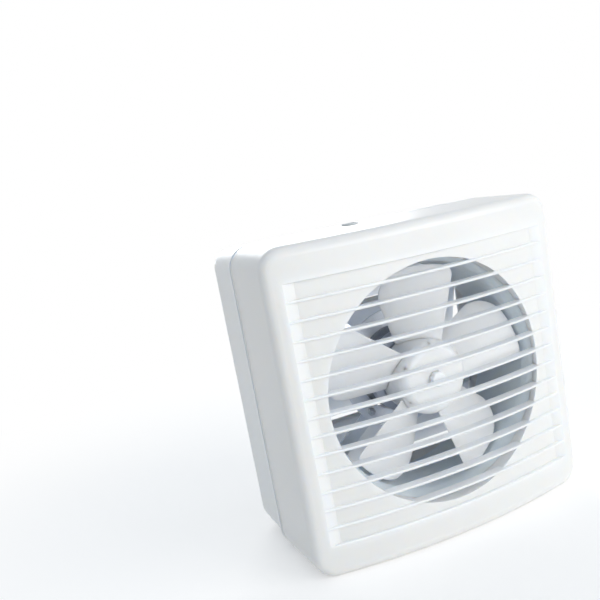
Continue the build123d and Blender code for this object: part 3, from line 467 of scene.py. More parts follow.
# %% A worked metal
EDGE_RADIUS = 3e-4
EDGE_AGREEMENT = (0.98, 0.75)  # cosines between the two normals, from no edge to a full one
CLOUD_DETAIL = 4.0
CLOUD_DISTORTION = 0.6
COAT_ROUGHNESS = 0.12


def add_rounding(tree, radius):
    """Normals that lean round every sharp edge, and a mask of those edges."""
    rounding = tree.nodes.new("ShaderNodeBevel")
    rounding.samples = 4
    rounding.inputs["Radius"].default_value = radius
    face = tree.nodes.new("ShaderNodeNewGeometry")
    agree = tree.nodes.new("ShaderNodeVectorMath")
    agree.operation = "DOT_PRODUCT"
    tree.links.new(rounding.outputs["Normal"], agree.inputs[0])
    tree.links.new(face.outputs["Normal"], agree.inputs[1])
    mask = tree.nodes.new("ShaderNodeMapRange")
    mask.inputs["From Min"].default_value = EDGE_AGREEMENT[0]
    mask.inputs["From Max"].default_value = EDGE_AGREEMENT[1]
    tree.links.new(agree.outputs["Value"], mask.inputs["Value"])
    return rounding.outputs["Normal"], mask.outputs["Result"]


def worked_metal(
    name, colour, deep_colour, edge_colour, roughness, clouds, bump, metallic=1.0, coat=0.0
):
    """A metal, bare or painted, whose tone clouds from place to place and whose edges are bright."""
    material, tree = new_material(name)
    surface = tree.nodes.new("ShaderNodeBsdfPrincipled")
    normal, edges = add_rounding(tree, EDGE_RADIUS)
    cloud = add_noise(tree, clouds, CLOUD_DETAIL, CLOUD_DISTORTION)
    tone = add_colour_mix(tree, add_range(tree, cloud, 0.0, 1.0), colour, deep_colour)
    tree.links.new(add_colour_mix(tree, edges, tone, edge_colour), surface.inputs["Base Color"])
    tree.links.new(add_range(tree, cloud, *roughness), surface.inputs["Roughness"])
    tree.links.new(add_bumps(tree, normal, [bump]), surface.inputs["Normal"])
    surface.inputs["Metallic"].default_value = metallic
    surface.inputs["Coat Weight"].default_value = coat
    surface.inputs["Coat Roughness"].default_value = COAT_ROUGHNESS
    tree.links.new(surface.outputs[0], tree.nodes["output"].inputs["Surface"])
    return material


first_edge = math.degrees(math.acos(EDGE_AGREEMENT[0]))
print("an edge starts where the normals differ by", round(first_edge, 1), "degrees")

# %% [markdown]
# ## The fan's metals
# The metals, too, differ only in numbers. In one table they can be compared at a glance: the core's
# dark sheets with the bright shaft, or a screw's satin with the cloudy zinc of the bracket.

# %% The metals
METALS = {  # clouds are cells per metre, a bump is its cells per metre, its detail and its depth
    "motor_casting": dict(
        colour=(0.64, 0.67, 0.73), deep_colour=(0.6, 0.63, 0.7), edge_colour=(0.74, 0.76, 0.8),
        roughness=(0.4, 0.5), clouds=700.0, bump=(700.0, 3.0, 3e-5), metallic=0.0,
    ),
    "core_steel": dict(
        colour=(0.34, 0.35, 0.37), deep_colour=(0.24, 0.24, 0.26), edge_colour=(0.5, 0.5, 0.52),
        roughness=(0.35, 0.5), clouds=240.0, bump=(900.0, 2.0, 1e-5),
    ),
    "coil_enamel": dict(
        colour=(0.62, 0.26, 0.1), deep_colour=(0.45, 0.16, 0.06), edge_colour=(0.7, 0.34, 0.16),
        roughness=(0.28, 0.36), clouds=90.0, bump=(1500.0, 2.0, 4e-6), coat=0.6,
    ),
    "bright_steel": dict(
        colour=(0.66, 0.66, 0.67), deep_colour=(0.6, 0.6, 0.62), edge_colour=(0.78, 0.78, 0.79),
        roughness=(0.15, 0.25), clouds=300.0, bump=(3000.0, 1.0, 2e-6),
    ),
    "zinc_steel": dict(
        colour=(0.8, 0.82, 0.86), deep_colour=(0.72, 0.75, 0.8), edge_colour=(0.82, 0.83, 0.84),
        roughness=(0.35, 0.45), clouds=160.0, bump=(1200.0, 2.0, 5e-6),
    ),
    "screw_steel": dict(
        colour=(0.64, 0.65, 0.66), deep_colour=(0.54, 0.55, 0.57), edge_colour=(0.78, 0.78, 0.79),
        roughness=(0.28, 0.38), clouds=500.0, bump=(2500.0, 2.0, 4e-6),
    ),
    "terminal_brass": dict(
        colour=(0.72, 0.52, 0.22), deep_colour=(0.6, 0.42, 0.17), edge_colour=(0.84, 0.66, 0.34),
        roughness=(0.28, 0.4), clouds=500.0, bump=(2500.0, 2.0, 4e-6),
    ),
}

for name, numbers in METALS.items():
    finishes[name] = worked_metal(name, **numbers)
print("finishes in all:", len(finishes))

# %% [markdown]
# ## Finishes on the solid model's own pieces
# A mesh that comes from a solid model keeps the exact normals of its curved faces, so a moulded
# shell or a turned shaft needs no remodelling: it only needs the right finish. The import gives
# each piece a material named after its finish in the record, so this step looks that name up and
# puts the real finish in the piece's material slot.

# %% Put each finish on its pieces
for node in nodes.values():
    finish = node.material_slots[0].material.name.split(".")[0]
    node.material_slots[0].material = finishes[finish]
    if finish == "cover_plastic":
        print(node.name, "has", len(node.data.polygons), "faces")

# %% [markdown]
# ## Skins and turned forms
# Small pieces of a fan are mostly turned, like the hub and the screws' heads, or a skin over rows of
# points, like a blade. Both come down to rows of points that are joined into quads, so one helper
# lays the skin and another turns an outline about the fan's axis. Faces that a script makes may
# point either way, so the normals of each finished form are worked out again.

# %% Skins and turned forms
def mesh_from(name, build, *values):
    """Runs a function that fills a bmesh, turns all faces outwards and returns the mesh."""
    form = bmesh.new()
    build(form, *values)
    bmesh.ops.recalc_face_normals(form, faces=form.faces)
    mesh = bpy.data.meshes.new(name)
    form.to_mesh(mesh)
    form.free()
    return mesh


def add_skin(form, rows, close_rows, close_across):
    """Joins rows of points into quads. Rows and the points across them may close on themselves."""
    grid = [[form.verts.new(point) for point in row] for row in rows]
    last_row = len(grid) if close_rows else len(grid) - 1
    across = len(grid[0])
    last_across = across if close_across else across - 1
    for i in range(last_row):
        here, there = grid[i], grid[(i + 1) % len(grid)]
        for j in range(last_across):
            k = (j + 1) % across
            form.faces.new((here[j], here[k], there[k], there[j]))
    return grid


def add_turned(form, outline, steps, close_outline=True):
    """Turns an outline of radius and depth pairs, in millimetres, about the fan's axis."""
    rows = []
    for step in range(steps):
        angle = 2 * math.pi * step / steps
        rows.append([
            (r * MM * math.cos(angle), y * MM, r * MM * math.sin(angle)) for r, y in outline
        ])
    return add_skin(form, rows, True, close_outline)


def arc(centre, radius, start, end, count):
    """Points of an arc in the radius and depth plane, with angles in degrees."""
    turns = [math.radians(start + (end - start) * step / count) for step in range(count + 1)]
    return [(centre[0] + radius * math.cos(t), centre[1] + radius * math.sin(t)) for t in turns]


# %% [markdown]
# ## From a mesh to a piece
# Every remade piece ends the same way, so one function does it. The piece's object stays at the
# origin, unturned and unscaled, with its place in its mesh, like the solid model's own pieces.
# It then rides on the body that carries it, hides the plain solid that it stands for, and names
# its finish. Before that, one helper joins finished meshes and another cuts one with a second.

# %% Joining, cutting and finishing
SHARP_EDGE = math.radians(35)


def joined(name, meshes):
    """One mesh that holds several."""
    form = bmesh.new()
    for mesh in meshes:
        form.from_mesh(mesh)
    whole = bpy.data.meshes.new(name)
    form.to_mesh(whole)
    form.free()
    return whole


def cut(mesh, tool):
    """What is left of a mesh when a closed tool mesh is cut out of it."""
    body = bpy.data.objects.new("body", mesh)
    cutter = bpy.data.objects.new("cutter", tool)
    for item in (body, cutter):
        bpy.context.scene.collection.objects.link(item)
    modifier = body.modifiers.new("cut", "BOOLEAN")
    modifier.operation = "DIFFERENCE"
    modifier.solver = "EXACT"
    modifier.object = cutter
    depsgraph = bpy.context.evaluated_depsgraph_get()
    result = bpy.data.meshes.new_from_object(body.evaluated_get(depsgraph))
    for item in (body, cutter):
        bpy.data.objects.remove(item)
    return result


def finish_piece(name, mesh, finish, body, node):
    """Makes a mesh a piece of the fan, in the place of a node of the solid model."""
    mesh.materials.clear()
    mesh.materials.append(finishes[finish])
    mesh.polygons.foreach_set("material_index", [0] * len(mesh.polygons))
    mesh.shade_smooth()
    mesh.set_sharp_from_angle(angle=SHARP_EDGE)
    piece = bpy.data.objects.new(name, mesh)
    bpy.context.scene.collection.objects.link(piece)
    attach(piece, body)
    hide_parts(node)
    print(name, "has", sum(len(face.vertices) - 2 for face in mesh.polygons), "triangles")


# %% [markdown]
# ## Trees that repeat
# Blades stand in a ring, screws at the corners of a square and steel sheets in a stack. Three
# small Geometry Nodes trees do that for any template mesh. A loop in Python could copy vertices
# as well, but a tree keeps its count, spacing and seed as named inputs that can be dragged in the
# modifier panel, and the template stays one mesh until the very end. Each tree closes with
# Realize Instances and Set Material, because other programs don't know instances.

# %% Building and running a tree
def new_tree(name, inputs):
    """A tree that takes and returns geometry, with more inputs by name, kind and default."""
    tree = bpy.data.node_groups.new(name, "GeometryNodeTree")
    tree.interface.new_socket("Template", in_out="INPUT", socket_type="NodeSocketGeometry")
    for label, kind, value in inputs:
        socket = tree.interface.new_socket(label, in_out="INPUT", socket_type="NodeSocket" + kind)
        socket.default_value = value
    tree.interface.new_socket("Finish", in_out="INPUT", socket_type="NodeSocketMaterial")
    tree.interface.new_socket("Result", in_out="OUTPUT", socket_type="NodeSocketGeometry")
    return tree, tree.nodes.new("NodeGroupInput").outputs


def add_node(tree, kind, links=(), **settings):
    """A node with its properties set and its inputs linked or filled, by input name."""
    node = tree.nodes.new(kind)
    for key, value in settings.items():
        setattr(node, key, value)
    for label, value in dict(links).items():
        if isinstance(value, bpy.types.NodeSocket):
            tree.links.new(value, node.inputs[label])
        else:
            node.inputs[label].default_value = value
    return node


def close_tree(tree, inputs, instances):
    """Makes the instances real, gives them their finish and ends the tree."""
    real = add_node(tree, "GeometryNodeRealizeInstances", {"Geometry": instances})
    painted = add_node(
        tree, "GeometryNodeSetMaterial", {"Geometry": real.outputs[0], "Material": inputs["Finish"]}
    )
    result = tree.nodes.new("NodeGroupOutput")
    tree.links.new(painted.outputs[0], result.inputs[0])


def grow(tree, template, finish, **settings):
    """Runs a tree on a template mesh and returns the result as a plain mesh with its finish."""
    settings["Finish"] = finishes[finish]
    carrier = bpy.data.objects.new(tree.name, template)
    bpy.context.scene.collection.objects.link(carrier)
    modifier = carrier.modifiers.new(tree.name, "NODES")
    modifier.node_group = tree
    for item in tree.interface.items_tree:
        if item.in_out == "INPUT" and item.name in settings:
            modifier[item.identifier] = settings[item.name]
    depsgraph = bpy.context.evaluated_depsgraph_get()
    grown = bpy.data.meshes.new_from_object(carrier.evaluated_get(depsgraph))
    carrier.modifiers.remove(modifier)
    bpy.data.objects.remove(carrier)
    return grown


# %% [markdown]
# ## Ring, row and corners
# The ring lies about the fan's axis and needs only a count and a first angle. The row takes equal
# steps along a line, and the corners are the points of a grid of one cell. A screw ends at any
# angle and a sheet never lies quite true, so these two trees also turn each copy at random, from a
# seed that is an input and stays the same.

# %% The three trees
def ring_tree():
    """Copies in a ring about the fan's axis."""
    tree, inputs = new_tree("ring_of_copies", [("Count", "Int", 5), ("First", "Float", 0.0)])
    points = add_node(tree, "GeometryNodePoints", {"Count": inputs["Count"]})
    index = tree.nodes.new("GeometryNodeInputIndex").outputs[0]
    step = add_math(tree, "DIVIDE", -2 * math.pi, inputs["Count"])
    turn = add_math(tree, "SUBTRACT", add_math(tree, "MULTIPLY", index, step), inputs["First"])
    euler = add_node(tree, "ShaderNodeCombineXYZ", {"Y": turn})
    rotation = add_node(tree, "FunctionNodeEulerToRotation", {"Euler": euler.outputs[0]})
    copies = add_node(tree, "GeometryNodeInstanceOnPoints", {
        "Points": points.outputs[0], "Instance": inputs["Template"], "Rotation": rotation.outputs[0],
    })
    close_tree(tree, inputs, copies.outputs[0])
    return tree


def add_turned_copies(tree, inputs, points):
    """Copies on points, each turned at random by up to an angle about each axis."""
    least = add_node(tree, "ShaderNodeVectorMath", {"Vector": inputs["Turn"]}, operation="SCALE")
    least.inputs["Scale"].default_value = -1.0
    turn = add_node(tree, "FunctionNodeRandomValue", {"Seed": inputs["Seed"]}, data_type="FLOAT_VECTOR")
    tree.links.new(least.outputs[0], turn.inputs[0])
    tree.links.new(inputs["Turn"], turn.inputs[1])
    rotation = add_node(tree, "FunctionNodeEulerToRotation", {"Euler": turn.outputs[0]})
    copies = add_node(tree, "GeometryNodeInstanceOnPoints", {
        "Points": points, "Instance": inputs["Template"], "Rotation": rotation.outputs[0],
    })
    close_tree(tree, inputs, copies.outputs[0])


def row_tree():
    """Copies in a row or a stack, from a first place by equal steps."""
    tree, inputs = new_tree("row_of_copies", [
        ("Count", "Int", 2), ("Start", "Vector", (0.0, 0.0, 0.0)), ("Step", "Vector", (0.0, 0.001, 0.0)),
        ("Turn", "Vector", (0.0, 0.0, 0.0)), ("Seed", "Int", 1),
    ])
    line = add_node(tree, "GeometryNodeMeshLine", {
        "Count": inputs["Count"], "Start Location": inputs["Start"], "Offset": inputs["Step"],
    }, mode="OFFSET")
    add_turned_copies(tree, inputs, line.outputs[0])
    return tree


def corner_tree():
    """Copies at the four corners of an upright rectangle about the fan's axis."""
    tree, inputs = new_tree("copies_at_corners", [
        ("Width", "Float", 0.1), ("Height", "Float", 0.1), ("Depth", "Float", 0.0),
        ("Turn", "Vector", (0.0, math.pi, 0.0)), ("Seed", "Int", 1),
    ])
    grid = add_node(tree, "GeometryNodeMeshGrid", {
        "Size X": inputs["Width"], "Size Y": inputs["Height"], "Vertices X": 2, "Vertices Y": 2,
    })
    place = add_node(tree, "ShaderNodeCombineXYZ", {"Y": inputs["Depth"]})
    upright = add_node(tree, "GeometryNodeTransform", {
        "Geometry": grid.outputs[0], "Translation": place.outputs[0], "Rotation": (math.pi / 2, 0.0, 0.0),
    })
    add_turned_copies(tree, inputs, upright.outputs[0])
    return tree


RING, ROW, CORNERS = ring_tree(), row_tree(), corner_tree()
print("trees:", [tree.name for tree in (RING, ROW, CORNERS)])

# %% [markdown]
# ## The impeller's hub
# The hub is a deep cup that hides the end of the motor, a thin moulding with a boss for the shaft
# in its middle. A cup is a turned form, so its wall is drawn once as a closed outline and turned.
# The Spin tool would give the same form by hand, but an outline in numbers keeps the draft, the
# wall and the roundings in view. Here and for all remade pieces sizes are in millimetres, and a
# depth is a place along the fan's axis, which is negative on the room's side of the pane.

# %% The hub's wall
HUB_FRONT = -81.0
HUB_REAR = -44.0
HUB_RADIUS = 37.0  # at the open rear
HUB_DRAFT = 1.5  # the hub is this much slimmer in front, so that it leaves its mould
HUB_WALL = 2.5
HUB_ROUNDING = 10.0
HUB_FLOOR = 3.75  # thickness of the front wall
BOSS_RADIUS = 9.0
BOSS_REAR = -51.0
BORE_RADIUS = 4.05
RIM_EDGE = 0.4  # bevels of the hub's rim, the boss and the bore
BOSS_EDGE = 0.5
BORE_EDGE = 0.3
BOSS_FILLET = 1.0
OUTSIDE_STEPS, INSIDE_STEPS = 12, 8  # cells of the two roundings
HUB_STEPS = 128


def hub_outline():
    """The hub's wall as a closed outline of radius and depth."""
    front_radius = HUB_RADIUS - HUB_DRAFT
    shoulder = (front_radius - HUB_ROUNDING, HUB_FRONT + HUB_ROUNDING)
    inside_rounding = HUB_ROUNDING - HUB_WALL
    floor = HUB_FRONT + HUB_FLOOR
    outside = [(BORE_RADIUS, HUB_FRONT)] + arc(shoulder, HUB_ROUNDING, -90, 0, OUTSIDE_STEPS)
    rim_inside = HUB_RADIUS - HUB_WALL
    rim = [
        (HUB_RADIUS, HUB_REAR - RIM_EDGE), (HUB_RADIUS - RIM_EDGE, HUB_REAR),
        (rim_inside + RIM_EDGE, HUB_REAR), (rim_inside, HUB_REAR - RIM_EDGE),
    ]
    inside = arc((shoulder[0], floor + inside_rounding), inside_rounding, 0, -90, INSIDE_STEPS)
    boss = [
        (BOSS_RADIUS + BOSS_FILLET, floor), (BOSS_RADIUS, floor + BOSS_FILLET),
        (BOSS_RADIUS, BOSS_REAR - BOSS_EDGE), (BOSS_RADIUS - BOSS_EDGE, BOSS_REAR),
        (BORE_RADIUS + BORE_EDGE, BOSS_REAR), (BORE_RADIUS, BOSS_REAR - BORE_EDGE),
    ]
    return outside + rim + inside + boss


hub = mesh_from("hub", add_turned, hub_outline(), HUB_STEPS)
print("the hub's outline has", len(hub_outline()), "points")

# %% [markdown]
# ## Webs and the drive pin's slot
# Thin webs from the boss to the wall keep the cup stiff, and a pin through the shaft lies in a slot
# across the boss and drives the hub. Neither is a turned form. One web is drawn as a thin wall and
# the ring tree repeats it, and a Boolean cuts the slot.

# %% Webs and slot
PIN_DEPTH = -56.0
PIN_RADIUS = 1.55
PIN_REACH = 7.55
SLOT_OVERLAP = 1.0  # how far the cutter reaches out of the boss
WEB_COUNT = 6
FIRST_WEB = math.radians(30)
WEB_HALF = 0.8
WEB_TOP_GAPS = (4.0, 8.0)  # from the pin's middle forward to the webs' tops, at boss and wall
WEB_SINK = (0.6, 0.5)  # how far a web's ends reach into the boss and into the wall


def add_block(form, low, high):
    """A box between two corners in millimetres."""
    made = bmesh.ops.create_cube(form, size=MM)["verts"]
    size = [b - a for a, b in zip(low, high)]
    middle = [(a + b) / 2 * MM for a, b in zip(low, high)]
    bmesh.ops.scale(form, vec=size, verts=made)
    bmesh.ops.translate(form, vec=middle, verts=made)


def add_web(form):
    """A thin wall from the boss to the cup, lower towards the cup's wall."""
    floor = HUB_FRONT + HUB_FLOOR - WEB_SINK[1]
    inner = BOSS_RADIUS - WEB_SINK[0]
    outer = HUB_RADIUS - HUB_DRAFT - HUB_WALL + WEB_SINK[1]
    inner_top, outer_top = (PIN_DEPTH - gap for gap in WEB_TOP_GAPS)
    side = [(inner, floor), (outer, floor), (outer, outer_top), (inner, inner_top)]
    rows = [[(x * MM, y * MM, z * MM) for x, y in side] for z in (-WEB_HALF, WEB_HALF)]
    grid = add_skin(form, rows, False, True)
    form.faces.new(grid[0])
    form.faces.new(reversed(grid[1]))


slot_front = (-PIN_RADIUS, PIN_DEPTH - PIN_RADIUS, -PIN_REACH)
slot_rear = (PIN_RADIUS, BOSS_REAR + SLOT_OVERLAP, PIN_REACH)
hub = cut(hub, mesh_from("pin_slot", add_block, slot_front, slot_rear))
webs = grow(RING, mesh_from("web", add_web), "impeller_plastic", Count=WEB_COUNT, First=FIRST_WEB)
print("hub faces:", len(hub.polygons), "web faces:", len(webs.polygons))

# %% [markdown]
# ## The rule of a blade
# A blade moves air because it meets it at an angle. The rim runs faster than the root, so the
# blade is steep at the hub and flat at the tip, and its section is bowed a little. Such a surface
# follows a rule: at each distance from the axis there is a pitch, a camber and a chord. The blade
# could be sculpted or lofted, but writing the rule keeps every number in view. The three values
# are given at three distances, and a parabola through them gives all the others.

# %% The blade's middle surface
STATIONS = (25.0, 62.0, 108.5)  # distances from the axis where the section is given
PITCHES = (36.0, 24.0, 18.0)
CAMBERS = (2.0, 4.0, 6.0)
HALF_CHORDS = (20.0, 37.0, 52.0)
BLADE_MIDDLE = -57.5  # depth of the blade's middle line
BOW_ROUNDS = 3  # rounds that settle where on the bowed section a point lies


def between_stations(values, x):
    """The smooth curve through the three stations' values, at a distance from the axis."""
    total = 0.0
    for i, own in enumerate(STATIONS):
        share = values[i]
        for j, other in enumerate(STATIONS):
            if j != i:
                share *= (x - other) / (own - other)
        total += share
    return total


def blade_point(radius, angle):
    """A point of the blade's middle surface, in millimetres."""
    x, z = radius * math.cos(angle), radius * math.sin(angle)
    pitch = math.radians(between_stations(PITCHES, x))
    camber = between_stations(CAMBERS, x)
    half_chord = between_stations(HALF_CHORDS, x)
    along, bow = z / math.cos(pitch), 0.0
    for _ in range(BOW_ROUNDS):
        bow = -camber * (1 - (along / half_chord) ** 2)
        along = (z + bow * math.sin(pitch)) / math.cos(pitch)
    return Vector((x, BLADE_MIDDLE + along * math.sin(pitch) + bow * math.cos(pitch), z))


def blade_normal(radius, angle):
    """Direction across the blade's middle surface, by small steps both ways."""
    step = 1e-3
    outward = blade_point(radius + step, angle) - blade_point(radius - step, angle)
    around = blade_point(radius, angle + step) - blade_point(radius, angle - step)
    return outward.cross(around).normalized()


for station in STATIONS:
    print("at", station, "mm the blade's middle lies at depth", round(blade_point(station, 0.0).y, 1))

# %% [markdown]
# ## The outline of a blade
# Seen from the room, a blade has two straight sides and an arc at the tip, with a small rounding in
# front and a large one behind. A side is worked out as it would be drawn on paper: a line from root
# to tip, moved inwards by the half-round rim, then a circle that touches both the line and the tip's
# arc. The result is the angle of the side at any radius, which is what a grid in polar
# coordinates needs.

# %% The blade's sides
TIP_RADIUS = 105.5
SIDE_ROOT_RADIUS = 33.0  # the sides' straight lines start here, inside the hub
SIDES = {  # root angle, tip angle and tip rounding of each side
    -1: (math.radians(-31), math.radians(-22), 9.0),
    1: (math.radians(32), math.radians(21), 26.0),
}


def line_meets_circle(start, direction, radius):
    """How far along a line from its start it crosses a circle about the axis."""
    lean = start.dot(direction)
    return -lean + math.sqrt(lean**2 - start.length_squared + radius**2)


def side_angle(side, inset):
    """A function that gives the angle of one side of the outline at a radius."""
    root_angle, tip_angle, rounding = SIDES[side]
    root = SIDE_ROOT_RADIUS * Vector((math.cos(root_angle), math.sin(root_angle)))
    tip = TIP_RADIUS * Vector((math.cos(tip_angle), math.sin(tip_angle)))
    direction = (tip - root).normalized()
    inward = -side * Vector((-direction.y, direction.x))
    start = root + inset * inward
    turn = rounding - inset
    tip_circle = TIP_RADIUS - inset
    corner = start + turn * inward
    reach = line_meets_circle(corner, direction, tip_circle - turn)
    centre = corner + reach * direction
    tangent_radius = (start + reach * direction).length

    def angle_at(radius):
        if radius <= tangent_radius:
            point = start + line_meets_circle(start, direction, radius) * direction
            return math.atan2(point.y, point.x)
        cosine = (radius**2 + centre.length_squared - turn**2) / (2 * radius * centre.length)
        return math.atan2(centre.y, centre.x) + side * math.acos(min(1.0, cosine))

    return angle_at


for side in SIDES:
    middle_angle = side_angle(side, 0.0)(STATIONS[1])
    print("side", side, "lies at", round(math.degrees(middle_angle), 1), "degrees at half span")

# %% [markdown]
# ## The skin of a blade
# The skin is laid over the outline as a grid, offset to both sides of the middle surface and closed
# with a half-round rim. A Solidify modifier would do the same in one step, but its rim is square,
# and a moulded blade gets thinner towards its sides and thicker where it meets the hub. The grid's
# rows crowd towards the tip, where the outline turns fastest.

# %% One blade
SKIN_ROOT_RADIUS = 35.0  # the skin starts here, inside the hub's wall
BLADE_THICKNESS = 2.0
EDGE_THICKNESS = 1.3
THINNING_CELLS = 5  # cells over which a blade thins towards its sides
ROOT_FLARE = 2.6  # added to the thickness where the blade meets the hub
ROOT_FLARE_LENGTH = 2.0
SPAN_CELLS, CHORD_CELLS, RIM_CELLS = 44, 34, 6


def half_thickness(radius, chord_share):
    """Half the blade's thickness: thin at the sides and flared at the hub."""
    to_side = min(chord_share, 1 - chord_share) * CHORD_CELLS / THINNING_CELLS
    body = EDGE_THICKNESS + (BLADE_THICKNESS - EDGE_THICKNESS) * min(1.0, to_side)
    flare = ROOT_FLARE * math.exp(-(radius - SKIN_ROOT_RADIUS) / ROOT_FLARE_LENGTH)
    return (body + flare) / 2


def add_blade(form):
    """One blade that points along +X, as a closed skin."""
    inset = EDGE_THICKNESS / 2
    leading, trailing = side_angle(-1, inset), side_angle(1, inset)
    middle, across, half = {}, {}, {}
    for i in range(SPAN_CELLS + 1):
        share = math.sin(math.pi / 2 * i / SPAN_CELLS)
        radius = SKIN_ROOT_RADIUS + share * (TIP_RADIUS - inset - SKIN_ROOT_RADIUS)
        first, last = leading(radius), trailing(radius)
        for j in range(CHORD_CELLS + 1):
            angle = first + (last - first) * j / CHORD_CELLS
            middle[i, j] = blade_point(radius, angle)
            across[i, j] = blade_normal(radius, angle)
            half[i, j] = half_thickness(radius, j / CHORD_CELLS)
    rim = [(0, j) for j in range(CHORD_CELLS)]
    rim += [(i, CHORD_CELLS) for i in range(SPAN_CELLS)]
    rim += [(SPAN_CELLS, j) for j in range(CHORD_CELLS, 0, -1)]
    rim += [(i, 0) for i in range(SPAN_CELLS, 0, -1)]
    faces = []
    for side in (-1, 1):
        rows = [
            [(middle[i, j] + side * half[i, j] * across[i, j]) * MM for j in range(CHORD_CELLS + 1)]
            for i in range(SPAN_CELLS + 1)
        ]
        faces.append(add_skin(form, rows, False, False))
    rings = [[faces[0][i][j] for i, j in rim]]
    for cell in range(1, RIM_CELLS):
        turn = math.pi * (cell / RIM_CELLS - 0.5)
        ring = []
        for place, key in enumerate(rim):
            ahead = middle[rim[(place + 1) % len(rim)]] - middle[rim[place - 1]]
            outward = ahead.cross(across[key]).normalized()
            if outward.dot(middle[key] - middle[SPAN_CELLS // 2, CHORD_CELLS // 2]) < 0:
                outward = -outward
            bulge = inset * math.cos(turn) if key[0] else 0.0
            ring.append(form.verts.new(
                (middle[key] + bulge * outward + half[key] * math.sin(turn) * across[key]) * MM
            ))
        rings.append(ring)
    rings.append([faces[1][i][j] for i, j in rim])
    for here, there in zip(rings, rings[1:]):
        for place in range(len(rim)):
            after = (place + 1) % len(rim)
            form.faces.new((here[place], here[after], there[after], there[place]))


blade = mesh_from("blade", add_blade)
print("one blade has", len(blade.polygons), "faces")

# %% [markdown]
# ## The whole impeller
# Hub and blades come out of one mould, so they are one piece here too. The ring tree repeats the
# blade, and the blades' roots end inside the hub's wall, so no seam shows.

# %% Impeller
BLADE_COUNT = 5
FIRST_BLADE = math.radians(89)

blades = grow(RING, blade, "impeller_plastic", Count=BLADE_COUNT, First=FIRST_BLADE)
impeller = joined("impeller_moulding", [hub, webs, blades])
finish_piece("impeller_moulding", impeller, "impeller_plastic", "fan", "impeller")
tip_reach = max(v.co.xz.length for v in blades.vertices) / MM
print("impeller reaches", round(tip_reach, 2), "mm from the axis")

# %% [markdown]
# ## The stator's steel sheets
# A motor's core is a pile of thin steel sheets, each with a varnished face, because a solid block
# would waste power in eddy currents. One sheet is drawn inside a tree of its own from circles: Fill
# Curve fills between them and leaves the bore and the winding openings empty, and Extrude gives
# the thickness. A Boolean would cut the same holes, but would leave a less even mesh.

# %% One sheet
CORE_FRONT = -24.0
CORE_LENGTH = 22.0
CORE_RADIUS = 42.0
CORE_BORE = 24.0
OPENING_RADIUS = 3.6
OPENING_PITCH_RADIUS = 31.1
OPENING_COUNT = 8
SHEET_COUNT = 44
SHEET_GAP = 0.02
RIM_STEPS, BORE_STEPS, OPENING_STEPS = 96, 72, 20
MERGE_DISTANCE = 1e-6


def sheet_tree():
    """One sheet with its bore and winding openings, upright, its front face at depth 0."""
    tree, inputs = new_tree("stator_sheet", [
        ("Radius", "Float", 0.04), ("Bore", "Float", 0.02), ("Opening", "Float", 0.004),
        ("Opening Ring", "Float", 0.03), ("Openings", "Int", 8), ("Thickness", "Float", 0.0005),
    ])
    outline = add_node(tree, "GeometryNodeJoinGeometry")
    for radius, steps in ((inputs["Radius"], RIM_STEPS), (inputs["Bore"], BORE_STEPS)):
        circle = add_node(
            tree, "GeometryNodeCurvePrimitiveCircle", {"Resolution": steps, "Radius": radius}
        )
        tree.links.new(circle.outputs[0], outline.inputs[0])
    ring = add_node(
        tree, "GeometryNodeCurvePrimitiveCircle",
        {"Resolution": inputs["Openings"], "Radius": inputs["Opening Ring"]},
    )
    opening = add_node(
        tree, "GeometryNodeCurvePrimitiveCircle",
        {"Resolution": OPENING_STEPS, "Radius": inputs["Opening"]},
    )
    openings = add_node(
        tree, "GeometryNodeInstanceOnPoints", {"Points": ring.outputs[0], "Instance": opening.outputs[0]}
    )
    loose = add_node(tree, "GeometryNodeRealizeInstances", {"Geometry": openings.outputs[0]})
    tree.links.new(loose.outputs[0], outline.inputs[0])
    filled = add_node(tree, "GeometryNodeFillCurve", {"Curve": outline.outputs[0]})
    thick = add_node(tree, "GeometryNodeExtrudeMesh", {
        "Mesh": filled.outputs[0], "Offset Scale": inputs["Thickness"], "Individual": False,
    })
    under = add_node(tree, "GeometryNodeFlipFaces", {"Mesh": filled.outputs[0]})
    closed = add_node(tree, "GeometryNodeJoinGeometry")
    tree.links.new(thick.outputs[0], closed.inputs[0])
    tree.links.new(under.outputs[0], closed.inputs[0])
    merged = add_node(
        tree, "GeometryNodeMergeByDistance", {"Geometry": closed.outputs[0], "Distance": MERGE_DISTANCE}
    )
    upright = add_node(tree, "GeometryNodeTransform", {
        "Geometry": merged.outputs[0], "Rotation": (-math.pi / 2, 0.0, 0.0),
    })
    close_tree(tree, inputs, upright.outputs[0])
    return tree


sheet_pitch = CORE_LENGTH / SHEET_COUNT
sheet = grow(
    sheet_tree(), bpy.data.meshes.new("empty"), "core_steel", Radius=CORE_RADIUS * MM,
    Bore=CORE_BORE * MM, Opening=OPENING_RADIUS * MM, Openings=OPENING_COUNT,
    Thickness=(sheet_pitch - SHEET_GAP) * MM, **{"Opening Ring": OPENING_PITCH_RADIUS * MM},
)
print("a sheet is", round(sheet_pitch - SHEET_GAP, 2), "mm thick, with", len(sheet.polygons), "faces")

# %% [markdown]
# ## The stack
# The sheets show as fine lines round the motor's waist. Between two of them there is only varnish,
# so a very small gap is enough to draw a line. The row tree stacks them and turns each one by a
# hair, because no sheet in a real stack lies quite true.

# %% Laminations
SHEET_TURN = math.radians(0.25)

stack = grow(
    ROW, sheet, "core_steel", Count=SHEET_COUNT, Start=(0.0, CORE_FRONT * MM, 0.0),
    Step=(0.0, sheet_pitch * MM, 0.0), Turn=(0.0, SHEET_TURN, 0.0), Seed=4,
)
finish_piece("stator_laminations", stack, "core_steel", "housing", "stator_core")

# %% [markdown]
# ## The windings
# Each pole of the motor carries a coil of enamelled wire that passes through two openings of the
# core and turns over outside it at both ends. A ring with a wire pattern in its material would do
# from afar, but a coil looks right only if it is made of turns, so its wires are drawn one by one.
# In an opening they pack like the cells of a honeycomb.

